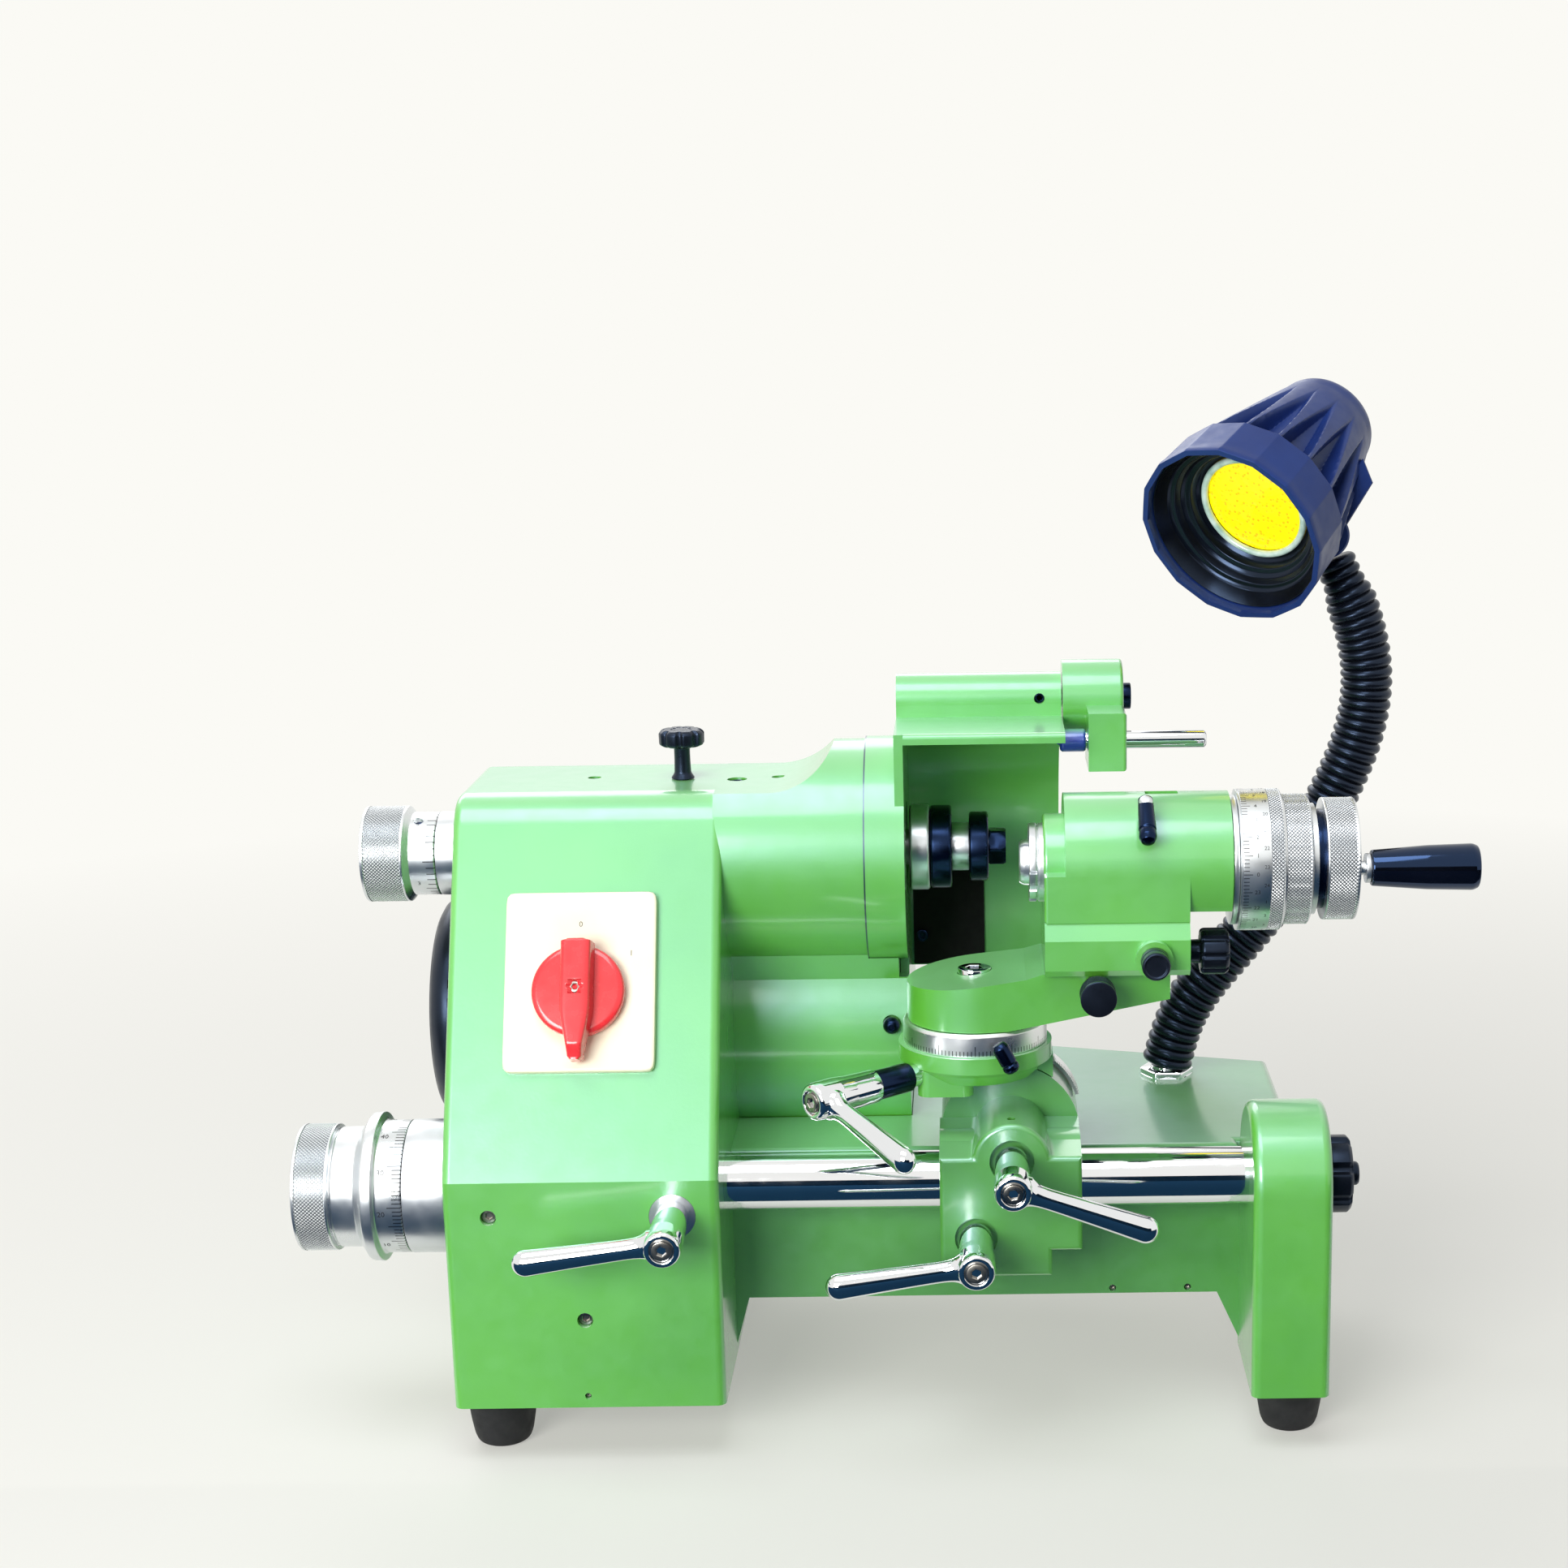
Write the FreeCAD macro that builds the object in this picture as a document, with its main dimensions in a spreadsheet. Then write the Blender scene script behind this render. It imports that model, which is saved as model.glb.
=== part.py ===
import FreeCAD, Part
import math
import os
import Sketcher
from FreeCAD import Placement, Rotation, Vector

# Tool and cutter grinder. Millimetres, +Z up, +X to the right, the operator stands at -Y.
# The origin is on the bench, under the middle of the machine.

SIZES = {
    # Datums that the whole machine hangs on
    "deck_z": 26, "bar_y": -61, "bar_z": 117, "spin_y": 21, "spin_z": 248,
    "motor_y": 66, "motor_z": 162, "front_y": -94, "back_y": 134,
    "pivot_x": 38, "pivot_y": -46, "drum_x": 53, "drum_z": 133.4, "head_z": 255,
    # General clearances and walls
    "gap": 0.3, "fit": 0.05, "wall": 8,
    # Column
    "col_left": -190, "col_right": -72, "crease_z": 129, "lean": 26.4, "roof_z": 281,
    "roof_back_y": 58, "eaves_y": 100, "eaves_z": 258, "back_top_z": 212, "shoulder_rad": 20,
    "barrel_rad": 50, "barrel_end": -10, "chamber_rad": 30, "chamber_x": -46,
    "bulge_rad": 66, "bulge_end": -5, "motor_bay_rad": 54,
    # Bed and end bracket
    "bed_front_y": -35, "bed_right": 182, "bed_back_y": 132, "bed_top_z": 122, "bed_low_z": 52,
    "bracket_x": 156, "bracket_end": 190, "bracket_rad": 33,
    # Motor and belt
    "motor_rad": 50, "motor_x": -165, "motor_end": -50, "cowl_rad": 55, "cowl_x": -215,
    "motor_shaft_rad": 7, "motor_pulley_rad": 37, "spindle_pulley_rad": 20, "belt_thick": 2.5,
    # Grinding spindle
    "quill_rad": 23.95, "sleeve_rad": 28, "quill_bore_rad": 20, "quill_x": -177, "quill_end": -44,
    "shaft_rad": 8,
    # Guide bar
    "bar_rad": 12.5, "bar_x": -184, "bar_end": 176, "bar_screw_rad": 6,
    # Carriage
    "carriage_x": 22, "carriage_end": 83, "carriage_front_y": -88, "carriage_top_z": 135,
    "carriage_low_z": 81.5, "bush_rad": 16, "drum_rad": 30.5, "drum_back_y": -8,
    # Swivel and workhead
    "ring_rad": 33.5, "ring_z": 167.5, "scale_z": 176.5, "arm_z": 187, "arm_end": 122,
    "slide_z": 211.8, "slide_top_z": 234.9, "slide_x": 68, "slide_end": 129.4,
    "head_rad": 30, "head_end": 147.6, "nose_rad": 17,
    # Wheel guard and dresser
    "guard_rad": 59, "guard_wall": 4, "guard_end": 79, "boss_y": 39, "boss_z": 313.5, "boss_rad": 11.5,
    "diamond_y": 19, "diamond_z": 296.7,
    # Switch plate on the sloped panel
    "plate_x": -131.8, "plate_z": 206.3, "plate_wide": 65.2, "plate_tall": 79, "plate_thick": 4,
    # Lamp
    "lamp_x": 131, "lamp_y": 76, "hose_rad": 12.2, "hose_groove_rad": 10.4, "hose_bore_rad": 8,
    "lamp_len": 102, "rim_rad": 45.5,
}
HOSE_ROUTE = [(131, 126.5), (139.5, 153), (156, 177), (178, 204), (196, 233), (211, 262),
              (221.5, 290), (224.3, 318), (218, 347), (208, 371)]
HOSE_RIBS = 56
RIM_CENTRE = Vector(156, 43, 385.3)
LAMP_BACK = Vector(0.529, 0.705, 0.472)
KNUCKLE = Vector(203.3, 76, 382.5)
TILT_ROOT = (9, -68.6, 166)
TILT_AIM = -48.6
INDEX_LEAN = 37
FEET = [(-174, -67), (176, -62), (-175, 114), (174, 74)]

TURN = {"X": Rotation(Vector(0, 1, 0), 90), "Y": Rotation(Vector(1, 0, 0), -90), "Z": Rotation()}
LATHE = {"X": Rotation(), "Y": Rotation(Vector(0, 0, 1), 90), "Z": Rotation(Vector(0, 1, 0), -90)}

doc = FreeCAD.newDocument("Grinder")
pieces = []


class Dim:
    """A length that knows its value and the sheet formula that it comes from."""

    def __init__(self, value, text=None):
        self.value = float(value)
        self.bound = text is not None
        self.text = text or f"{self.value:.6f}"

    def join(self, sign, other, value):
        other = dim(other)
        text = f"({self.text} {sign} {other.text})" if self.bound or other.bound else None
        return Dim(value, text)

    def __add__(self, other):
        return self.join("+", other, self.value + dim(other).value)

    def __radd__(self, other):
        return dim(other) + self

    def __sub__(self, other):
        return self.join("-", other, self.value - dim(other).value)

    def __rsub__(self, other):
        return dim(other) - self

    def __mul__(self, other):
        return self.join("*", other, self.value * dim(other).value)

    def __truediv__(self, other):
        return self.join("/", other, self.value / dim(other).value)


def dim(size):
    return size if isinstance(size, Dim) else Dim(size)


def sine(angle):
    return Dim(math.sin(math.radians(angle.value)), f"sin({angle.text} * 1 deg)")


def cosine(angle):
    return Dim(math.cos(math.radians(angle.value)), f"cos({angle.text} * 1 deg)")


class Sheet:
    """The driving dimensions, kept in the document's spreadsheet and read as attributes."""

    def __init__(self):
        sheet = doc.addObject("Spreadsheet::Sheet", "Size")
        for row, (alias, value) in enumerate(SIZES.items(), 1):
            sheet.set(f"A{row}", alias)
            sheet.set(f"B{row}", str(value))
            sheet.setAlias(f"B{row}", alias)
            setattr(self, alias, Dim(value, f"Size.{alias}"))
        doc.recompute()


S = Sheet()


# Making, placing and joining solids

def bind(thing, prop, size):
    """Set a length, through the sheet where it comes from there."""
    size = dim(size)
    setattr(thing, prop, size.value)
    if size.bound:
        thing.setExpression(prop, size.text)


def place(thing, at, turn=None):
    spot = [dim(value) for value in at]
    thing.Placement = Placement(Vector(*[value.value for value in spot]), turn or Rotation())
    for axis, value in zip("xyz", spot):
        if value.bound:
            thing.setExpression(f"Placement.Base.{axis}", value.text)
    return thing


def on_axis(along, centre, start):
    spot = list(centre)
    spot.insert("XYZ".index(along), start)
    return spot


def rod(along, centre, start, end, radius):
    """A cylinder along X, Y or Z from start to end, about the other two coordinates."""
    solid = doc.addObject("Part::Cylinder", "Rod")
    bind(solid, "Radius", radius)
    bind(solid, "Height", dim(end) - start)
    return place(solid, on_axis(along, centre, start), TURN[along])


def cone(along, centre, start, end, start_radius, end_radius):
    solid = doc.addObject("Part::Cone", "Cone")
    bind(solid, "Radius1", start_radius)
    bind(solid, "Radius2", end_radius)
    bind(solid, "Height", dim(end) - start)
    return place(solid, on_axis(along, centre, start), TURN[along])


def ball(centre, radius):
    solid = doc.addObject("Part::Sphere", "Ball")
    bind(solid, "Radius", radius)
    return place(solid, centre)


def box(x, y, z):
    """A block between pairs of coordinates."""
    solid = doc.addObject("Part::Box", "Block")
    for prop, (low, high) in zip(("Length", "Width", "Height"), (x, y, z)):
        bind(solid, prop, dim(high) - low)
    return place(solid, [pair[0] for pair in (x, y, z)])


def fuse(*solids):
    joined = doc.addObject("Part::MultiFuse", "Joined")
    joined.Shapes = list(solids)
    return joined


def cut(base, *tools):
    left = doc.addObject("Part::Cut", "Left")
    left.Base = base
    left.Tool = tools[0] if len(tools) == 1 else fuse(*tools)
    return left


def common(first, second):
    shared = doc.addObject("Part::Common", "Shared")
    shared.Base = first
    shared.Tool = second
    return shared


def sketch_in(body, plane, outline):
    """A closed outline of straight lines, each corner bound to its two coordinates."""
    sketch = body.newObject("Sketcher::SketchObject", "Outline")
    origin_plane = [each for each in body.Origin.OriginFeatures if each.Role == f"{plane}_Plane"][0]
    sketch.AttachmentSupport = (origin_plane, "")
    sketch.MapMode = "FlatFace"
    corners = [(dim(first), dim(second)) for first, second in outline]
    count = len(corners)
    points = [Vector(first.value, second.value, 0) for first, second in corners]
    for index in range(count):
        sketch.addGeometry(Part.LineSegment(points[index], points[(index + 1) % count]))
    for index in range(count):
        sketch.addConstraint(Sketcher.Constraint("Coincident", index, 2, (index + 1) % count, 1))
    for index, corner in enumerate(corners):
        for kind, size in zip(("DistanceX", "DistanceY"), corner):
            number = sketch.addConstraint(Sketcher.Constraint(kind, -1, 1, index, 1, size.value))
            if size.bound:
                sketch.setExpression(f"Constraints[{number}]", size.text)
    return sketch


def prism(plane, outline, start, end):
    """An outline drawn in the YZ, XY or XZ plane and padded from start to end across it."""
    body = doc.addObject("PartDesign::Body", "Body")
    pad = body.newObject("PartDesign::Pad", "Pad")
    pad.Profile = sketch_in(body, plane, outline)
    pad.Reversed = plane == "XZ"
    bind(pad, "Length", dim(end) - start)
    spot = {"YZ": (start, 0, 0), "XY": (0, 0, start), "XZ": (0, start, 0)}[plane]
    return place(body, spot)


def turned(along, centre, outline):
    """A solid of revolution: the outline is (place along the axis, radius)."""
    body = doc.addObject("PartDesign::Body", "Body")
    sketch = sketch_in(body, "XY", outline)
    lathe = body.newObject("PartDesign::Revolution", "Turned")
    lathe.Profile = sketch
    lathe.ReferenceAxis = (sketch, ["H_Axis"])
    lathe.Angle = 360
    return place(body, on_axis(along, centre, 0), LATHE[along])


def stepped(along, centre, start, *runs):
    """A stepped round piece: each run is (where it ends, its radius)."""
    outline = [(start, 0)]
    here = start
    for end, radius in runs:
        outline += [(here, radius), (end, radius)]
        here = end
    return turned(along, centre, outline + [(here, 0)])


def knob(along, centre, start, end, radius, bevel=1):
    """A round knob with both rims bevelled."""
    start, end, radius = dim(start), dim(end), dim(radius)
    outline = [(start, 0), (start, radius - bevel), (start + bevel, radius),
               (end - bevel, radius), (end, radius - bevel), (end, 0)]
    return turned(along, centre, outline)


def soften(solid, radius, pick):
    """Round the edges that pick() chooses."""
    doc.recompute()
    rounded = doc.addObject("Part::Fillet", "Rounded")
    rounded.Base = solid
    edges = enumerate(solid.Shape.Edges, 1)
    rounded.Edges = [(number, radius, radius) for number, edge in edges if pick(edge)]
    return rounded


def lies_at(edge, axis, value):
    """Whether an edge lies in the plane where the axis has that value."""
    low, high = getattr(edge.BoundBox, axis + "Min"), getattr(edge.BoundBox, axis + "Max")
    return abs(low - dim(value).value) < 0.01 and abs(high - dim(value).value) < 0.01


def upright(edge):
    """Whether an edge is a straight vertical line."""
    size = edge.BoundBox
    return size.XLength < 0.01 and size.YLength < 0.01 and size.ZLength > 1


def piece(name, solid):
    solid.Label = name
    pieces.append(solid)
    return solid


# Castings

def panel_tangent():
    """Where the sloped panel runs into the rounded shoulder: its centre and the tangent point."""
    centre_z = S.roof_z - S.shoulder_rad
    rise = centre_z - S.crease_z
    centre_y = S.front_y + (rise * sine(S.lean) + S.shoulder_rad) / cosine(S.lean)
    touch = (centre_y - S.shoulder_rad * cosine(S.lean), centre_z + S.shoulder_rad * sine(S.lean))
    return (centre_y, centre_z), touch


def column_shell():
    """The hollow upright box with its sloped panel, rounded shoulder and sloped back."""
    shoulder, touch = panel_tangent()
    outline = [(S.front_y, S.deck_z), (S.front_y, S.crease_z), touch, (shoulder[0], S.roof_z),
               (S.roof_back_y, S.roof_z), (S.eaves_y, S.eaves_z), (S.back_y, S.back_top_z),
               (S.back_y, S.deck_z)]
    block = fuse(prism("YZ", outline, S.col_left, S.col_right),
                 rod("X", shoulder, S.col_left, S.col_right, S.shoulder_rad))
    block.Refine = True
    block = soften(block, 4, lambda edge: (lies_at(edge, "X", S.col_left)
                   or lies_at(edge, "X", S.col_right)) and edge.BoundBox.ZMax > S.deck_z.value + 1)
    below = S.deck_z - 1
    inner = [(S.front_y + S.wall, below), (S.front_y + S.wall, S.crease_z - 3),
             (touch[0] + S.wall, touch[1] - S.wall), (S.roof_back_y - 4, S.roof_z - S.wall - 1),
             (S.eaves_y - 6, S.eaves_z - 6), (S.back_y - S.wall, S.back_top_z - 4),
             (S.back_y - S.wall, below)]
    cavity = prism("YZ", inner, S.col_left + S.wall, S.col_right - S.wall)
    return cut(block, cavity)


def belt_web(start, end, half):
    """The block that joins the spindle barrel and the motor bulge, seen along X."""
    run_y = S.spin_y.value - S.motor_y.value
    run_z = S.spin_z.value - S.motor_z.value
    length = math.hypot(run_y, run_z)
    side_y, side_z = run_z / length * half, -run_y / length * half
    outline = [(S.motor_y - side_y, S.motor_z - side_z), (S.motor_y + side_y, S.motor_z + side_z),
               (S.spin_y + side_y, S.spin_z + side_z), (S.spin_y - side_y, S.spin_z - side_z)]
    return prism("YZ", outline, start, end)


def barrel_roof():
    """What is cut off the top of the barrel, so that the roof sweeps up to the full barrel."""
    sweep_rad, sweep_x = 31.6, -52
    high = S.roof_z + sweep_rad * 2
    return fuse(box((S.col_right - 8, sweep_x), (-70, 110), (S.roof_z, high)),
                rod("Y", (sweep_x, S.roof_z + sweep_rad), -70, 110, sweep_rad))


def column_casting():
    """The hollow column with the spindle barrel that is cast on to its right side."""
    spindle, motor, bar = (S.spin_y, S.spin_z), (S.motor_y, S.motor_z), (S.bar_y, S.bar_z)
    inside_left, inside_right = S.col_left + S.wall, S.col_right - S.wall
    barrel = cut(rod("X", spindle, S.col_right - 4, S.barrel_end, S.barrel_rad), barrel_roof())
    solid = fuse(column_shell(), barrel)
    bores = [rod("X", spindle, inside_left, inside_right, S.sleeve_rad),
             rod("X", spindle, inside_right - 1, S.chamber_x, S.quill_rad + S.fit),
             rod("X", spindle, S.col_left - 1, inside_left + 1, 12),
             rod("X", spindle, S.chamber_x, S.barrel_end + 1, S.chamber_rad),
             rod("X", motor, inside_right - 1, S.col_right + 1, S.motor_rad),
             rod("X", motor, S.col_right, S.bulge_end, S.motor_bay_rad),
             rod("X", motor, S.col_left - 1, inside_left + 1, 50),
             belt_web(-33, S.barrel_end + 1, 33),
             rod("X", bar, S.col_left - 1, S.col_right + 1, S.bar_rad + S.fit),
             rod("Y", clamp_axis(), S.front_y - 1, S.front_y + S.wall + 1, 10),
             rod("Z", (-93, S.spin_y), S.roof_z - 14, S.roof_z + 1, 3.4)]
    return piece("column_casting", cut(solid, *bores, *column_openings()))


def clamp_axis():
    """Where the bar's clamp stands in the column, as (X, Z)."""
    return (-92, S.bar_z - 4)


def bearing_sleeves():
    """The two iron sleeves inside the column, with the boss that the bar's clamp screws into."""
    spindle, bar = (S.spin_y, S.spin_z), (S.bar_y, S.bar_z)
    start, end = S.col_left + S.wall, S.col_right - S.wall
    quill_sleeve = cut(rod("X", spindle, start, end, S.sleeve_rad),
                       rod("X", spindle, start - 1, end + 1, S.quill_rad + S.fit),
                       rod("Z", (-93, S.spin_y), S.spin_z + 20, S.roof_z, 3.4))
    clamp_boss = rod("Y", clamp_axis(), S.front_y, S.bar_y - 16, 9.9)
    bar_sleeve = cut(fuse(rod("X", bar, start, end, 20), clamp_boss),
                     rod("X", bar, start - 1, end + 1, S.bar_rad + S.fit),
                     rod("Y", clamp_axis(), S.front_y - 1, S.bar_y - 12, 4.9 + 0.15))
    return piece("bearing_sleeves", fuse(quill_sleeve, bar_sleeve))


def motor_housing():
    """The bulge round the motor's front end, with the web that carries the belt up to the barrel."""
    spindle, motor = (S.spin_y, S.spin_z), (S.motor_y, S.motor_z)
    barrel_room = fuse(rod("X", spindle, S.col_right - 1, S.barrel_end, S.barrel_rad),
                       rod("X", spindle, S.barrel_end, S.bulge_end + 1, S.barrel_rad + 1.3))
    shell = cut(fuse(rod("X", motor, S.col_right, S.bulge_end, S.bulge_rad),
                     belt_web(S.col_right, S.bulge_end, 40)), barrel_room)
    bay = rod("X", motor, S.col_right - 1, S.bulge_end + 1, S.motor_bay_rad)
    return piece("motor_housing", cut(shell, bay, belt_web(-33, -13, 33)))


def column_openings():
    """The rear window, the switch pocket, the cable hole and the small screw holes."""
    window = box((-176, -86), (S.back_y - 12, S.back_y + 1), (60, 200))
    pocket = doc.addObject("Part::Box", "Pocket")
    for prop, size in (("Length", 44), ("Width", 44), ("Height", 44)):
        bind(pocket, prop, size)
    place_on_panel(pocket, -22, -27, -34)
    cable = rod("X", (S.back_y - 34, 45), S.col_left - 1, S.col_left + 12, 6.5)
    front_holes = [rod("Y", (x, z), S.front_y - 1, S.front_y + 4, 3.4)
                   for x, z in ((-170.5, 113.4), (-131.3, 66.3))]
    front_holes.append(rod("Y", (-131.6, 31.3), S.front_y - 1, S.front_y + 3, 1.4))
    roof_holes = [rod("Z", (x, y), S.roof_z - 3, S.roof_z + 1, radius)
                  for x, y, radius in ((-134, 26.8, 3), (-68.3, 18.2, 4.5), (-50, 22.8, 3))]
    return [window, pocket, cable] + front_holes + roof_holes


def bed_casting():
    outline = [(S.col_right, S.bed_front_y), (S.bracket_x, S.bed_front_y), (S.bracket_x, S.bed_front_y + 7),
               (S.bed_right, S.bed_front_y + 7), (S.bed_right, S.back_y - 39), (60, S.bed_back_y),
               (S.col_right, S.bed_back_y)]
    block = prism("XY", outline, S.bed_low_z, S.bed_top_z)
    block = soften(block, 4, lambda edge: lies_at(edge, "Z", S.bed_top_z)
                   and not lies_at(edge, "X", S.col_right))
    inner = [(S.col_right + S.wall, S.bed_front_y + S.wall), (S.bracket_x, S.bed_front_y + S.wall),
             (S.bracket_x, S.bed_front_y + 15), (S.bed_right - S.wall, S.bed_front_y + 15),
             (S.bed_right - S.wall, S.back_y - 45), (59, S.bed_back_y - S.wall),
             (S.col_right + S.wall, S.bed_back_y - S.wall)]
    hollow = prism("XY", inner, S.bed_low_z - 1, S.bed_top_z - S.wall)
    shell = cut(block, hollow)
    leg = box((S.bracket_end - 32, S.bracket_end), (54, 94), (S.deck_z, S.bed_low_z + 8))
    right_web = prism("XZ", [(146, S.bed_low_z), (S.bracket_x, S.bed_low_z), (S.bracket_x, 30)],
                      S.bed_front_y, S.bed_front_y + S.wall)
    left_web = prism("XZ", [(S.col_right, S.bed_low_z), (S.col_right + 6, S.bed_low_z), (S.col_right, 30)],
                     S.bed_front_y, S.bed_front_y + S.wall)
    solid = fuse(shell, leg, right_web, left_web)
    bulge_room = rod("X", (S.motor_y, S.motor_z), S.col_right - 1, S.bulge_end + 13.3, S.bulge_rad + S.gap)
    holes = [rod("Y", (x, 54.4), S.bed_front_y - 1, S.bed_front_y + 3, 1.6) for x in (132.7, 98.8)]
    lamp_hole = rod("Z", (S.lamp_x, S.lamp_y), S.bed_top_z - 10, S.bed_top_z + 1, 6.2)
    return piece("bed_casting", cut(solid, bulge_room, lamp_hole, *holes))


def end_bracket():
    bar = (S.bar_y, S.bar_z)
    block = fuse(box((S.bracket_x, S.bracket_end), (S.bar_y - S.bracket_rad, S.bar_y + S.bracket_rad),
                     (S.deck_z, S.bar_z)),
                 rod("X", bar, S.bracket_x, S.bracket_end, S.bracket_rad))
    block.Refine = True
    block = soften(block, 4, lambda edge: (lies_at(edge, "X", S.bracket_x)
                   or lies_at(edge, "X", S.bracket_end)) and edge.BoundBox.ZMax > S.deck_z.value + 1)
    return piece("end_bracket", cut(block,
                 rod("X", bar, S.bracket_x - 1, S.bracket_end - 6, S.bar_rad + S.fit),
                 rod("X", bar, S.bracket_end - 7, S.bracket_end + 1, 4.9 + S.fit)))


def feet():
    pads = [turned("Z", (x, y), [(0, 0), (0, 9), (1.5, 11), (10, 14), (S.deck_z, 15.5), (S.deck_z, 0)])
            for x, y in FEET]
    return piece("feet", fuse(*pads))


def covers():
    plate = box((S.col_left + 8, S.col_right - 8), (S.back_y, S.back_y + 2.5), (54, 212))
    plate = soften(plate, 2, lambda edge: lies_at(edge, "Y", S.back_y + 2.5))
    screw_spots = [(x, z) for x in (S.col_left + 17, S.col_right - 17) for z in (63, 203)]
    plate = cut(plate, *[rod("Y", spot, S.back_y + 1, S.back_y + 3, 3.6) for spot in screw_spots])
    start, end = S.bulge_end, S.bulge_end + 13
    lid = fuse(rod("X", (S.motor_y, S.motor_z), start, end, S.bulge_rad), belt_web(start, end, 40))
    axis = (S.spin_y, S.spin_z)
    collar_room = rod("X", axis, start - 1, end + 1, S.barrel_rad + 1.3)
    guard_room = fuse(rod("X", axis, 3.7, end + 1, S.guard_rad + S.gap),
                      box((3.7, end + 1), (S.spin_y, S.spin_y + S.guard_rad + S.gap), (177.7, S.spin_z)))
    screw_room = rod("Y", (0, 170), S.motor_y - 71, S.motor_y - 61, 4.1)
    piece("covers", fuse(plate, cut(lid, collar_room, guard_room, screw_room)))


def cap_screws():
    """Black screws: one on the belt cover, one in the rubber flap, one that the dresser turns on."""
    cover = fuse(rod("Y", (0, 170), S.motor_y - 70, S.motor_y - 65.5, 3), ball((0, S.motor_y - 68, 170), 4))
    inner_y = S.spin_y + S.guard_rad - S.guard_wall
    flap = rod("Y", (13, 193.5), inner_y - 4, inner_y - 2, 3)
    pivot = stepped("X", (S.boss_y, S.boss_z), S.guard_end - 19, (107.3, 5), (111, 6))
    return piece("cap_screws", fuse(cover, flap, pivot))


# Motor, belt and grinding spindle

def motor():
    axis = (S.motor_y, S.motor_z)
    case = cut(rod("X", axis, S.motor_x, S.motor_end, S.motor_rad),
               rod("X", axis, S.motor_x + 15, S.motor_end - 15, 40),
               rod("X", axis, S.motor_x - 1, S.motor_end + 1, S.motor_shaft_rad + S.fit))
    piece("motor_body", case)
    cowl_end = S.col_left
    shell = turned("X", axis, [(S.cowl_x, 0), (S.cowl_x, S.cowl_rad - 8), (S.cowl_x + 3, S.cowl_rad - 3),
                               (S.cowl_x + 8, S.cowl_rad), (cowl_end, S.cowl_rad), (cowl_end, 0)])
    hollow = turned("X", axis, [(S.cowl_x + 3, 0), (S.cowl_x + 3, S.cowl_rad - 10),
                                (S.cowl_x + 9, S.cowl_rad - 3), (cowl_end + 1, S.cowl_rad - 3),
                                (cowl_end + 1, 0)])
    piece("motor_fan_cowl", cut(shell, hollow))
    core = stepped("X", axis, -185, (S.motor_x + 22, S.motor_shaft_rad), (S.motor_end - 22, 32),
                   (-16, S.motor_shaft_rad))
    blades = [rod("X", axis, -200, -185, 12)]
    for number in range(6):
        blade = box((-199, -187), (10, 44), (-1, 1))
        turn = Rotation(Vector(1, 0, 0), number * 60)
        reach = turn.multVec(Vector(0, 10, -1))
        blades.append(place(blade, (-199, S.motor_y + reach.y, S.motor_z + reach.z), turn))
    piece("motor_rotor", fuse(core, *blades))
    pulley_room = rod("X", axis, -30, -15, S.motor_shaft_rad)
    wheel = turned("X", axis, [(-29.5, 0), (-29.5, 39.5), (-28.5, S.motor_pulley_rad),
                               (-17.5, S.motor_pulley_rad), (-16.5, 39.5), (-16.5, 0)])
    piece("motor_pulley", cut(wheel, pulley_room))


def belt_loop(extra):
    """The outline of an open belt round both pulleys, grown by extra, as a wire in the YZ plane."""
    big, small = S.motor_pulley_rad.value + extra, S.spindle_pulley_rad.value + extra
    low = Vector(0, S.motor_y.value, S.motor_z.value)
    high = Vector(0, S.spin_y.value, S.spin_z.value)
    along = (high - low).normalize()
    across = Vector(1, 0, 0).cross(along)
    angle = math.asin((big - small) / (high - low).Length)
    sides = [along * math.sin(angle) + across * math.cos(angle) * side for side in (1, -1)]
    ends = [[centre + side * radius for side in sides] for centre, radius in ((low, big), (high, small))]
    return Part.Wire([Part.Arc(ends[0][0], low - along * big, ends[0][1]).toShape(),
                      Part.LineSegment(ends[0][1], ends[1][1]).toShape(),
                      Part.Arc(ends[1][1], high + along * small, ends[1][0]).toShape(),
                      Part.LineSegment(ends[1][0], ends[0][0]).toShape()])


def belt():
    """The flat belt, a closed loop that stands a little off both pulleys."""
    gap, start, width = S.gap.value, -28, 10
    outer = Part.Face(belt_loop(gap + S.belt_thick.value))
    inner = Part.Face(belt_loop(gap))
    loop = doc.addObject("Part::Feature", "Belt")
    loop.Shape = outer.extrude(Vector(width, 0, 0)).cut(inner.extrude(Vector(width, 0, 0)))
    loop.Placement = Placement(Vector(start, 0, 0), Rotation())
    return piece("drive_belt", loop)


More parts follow.
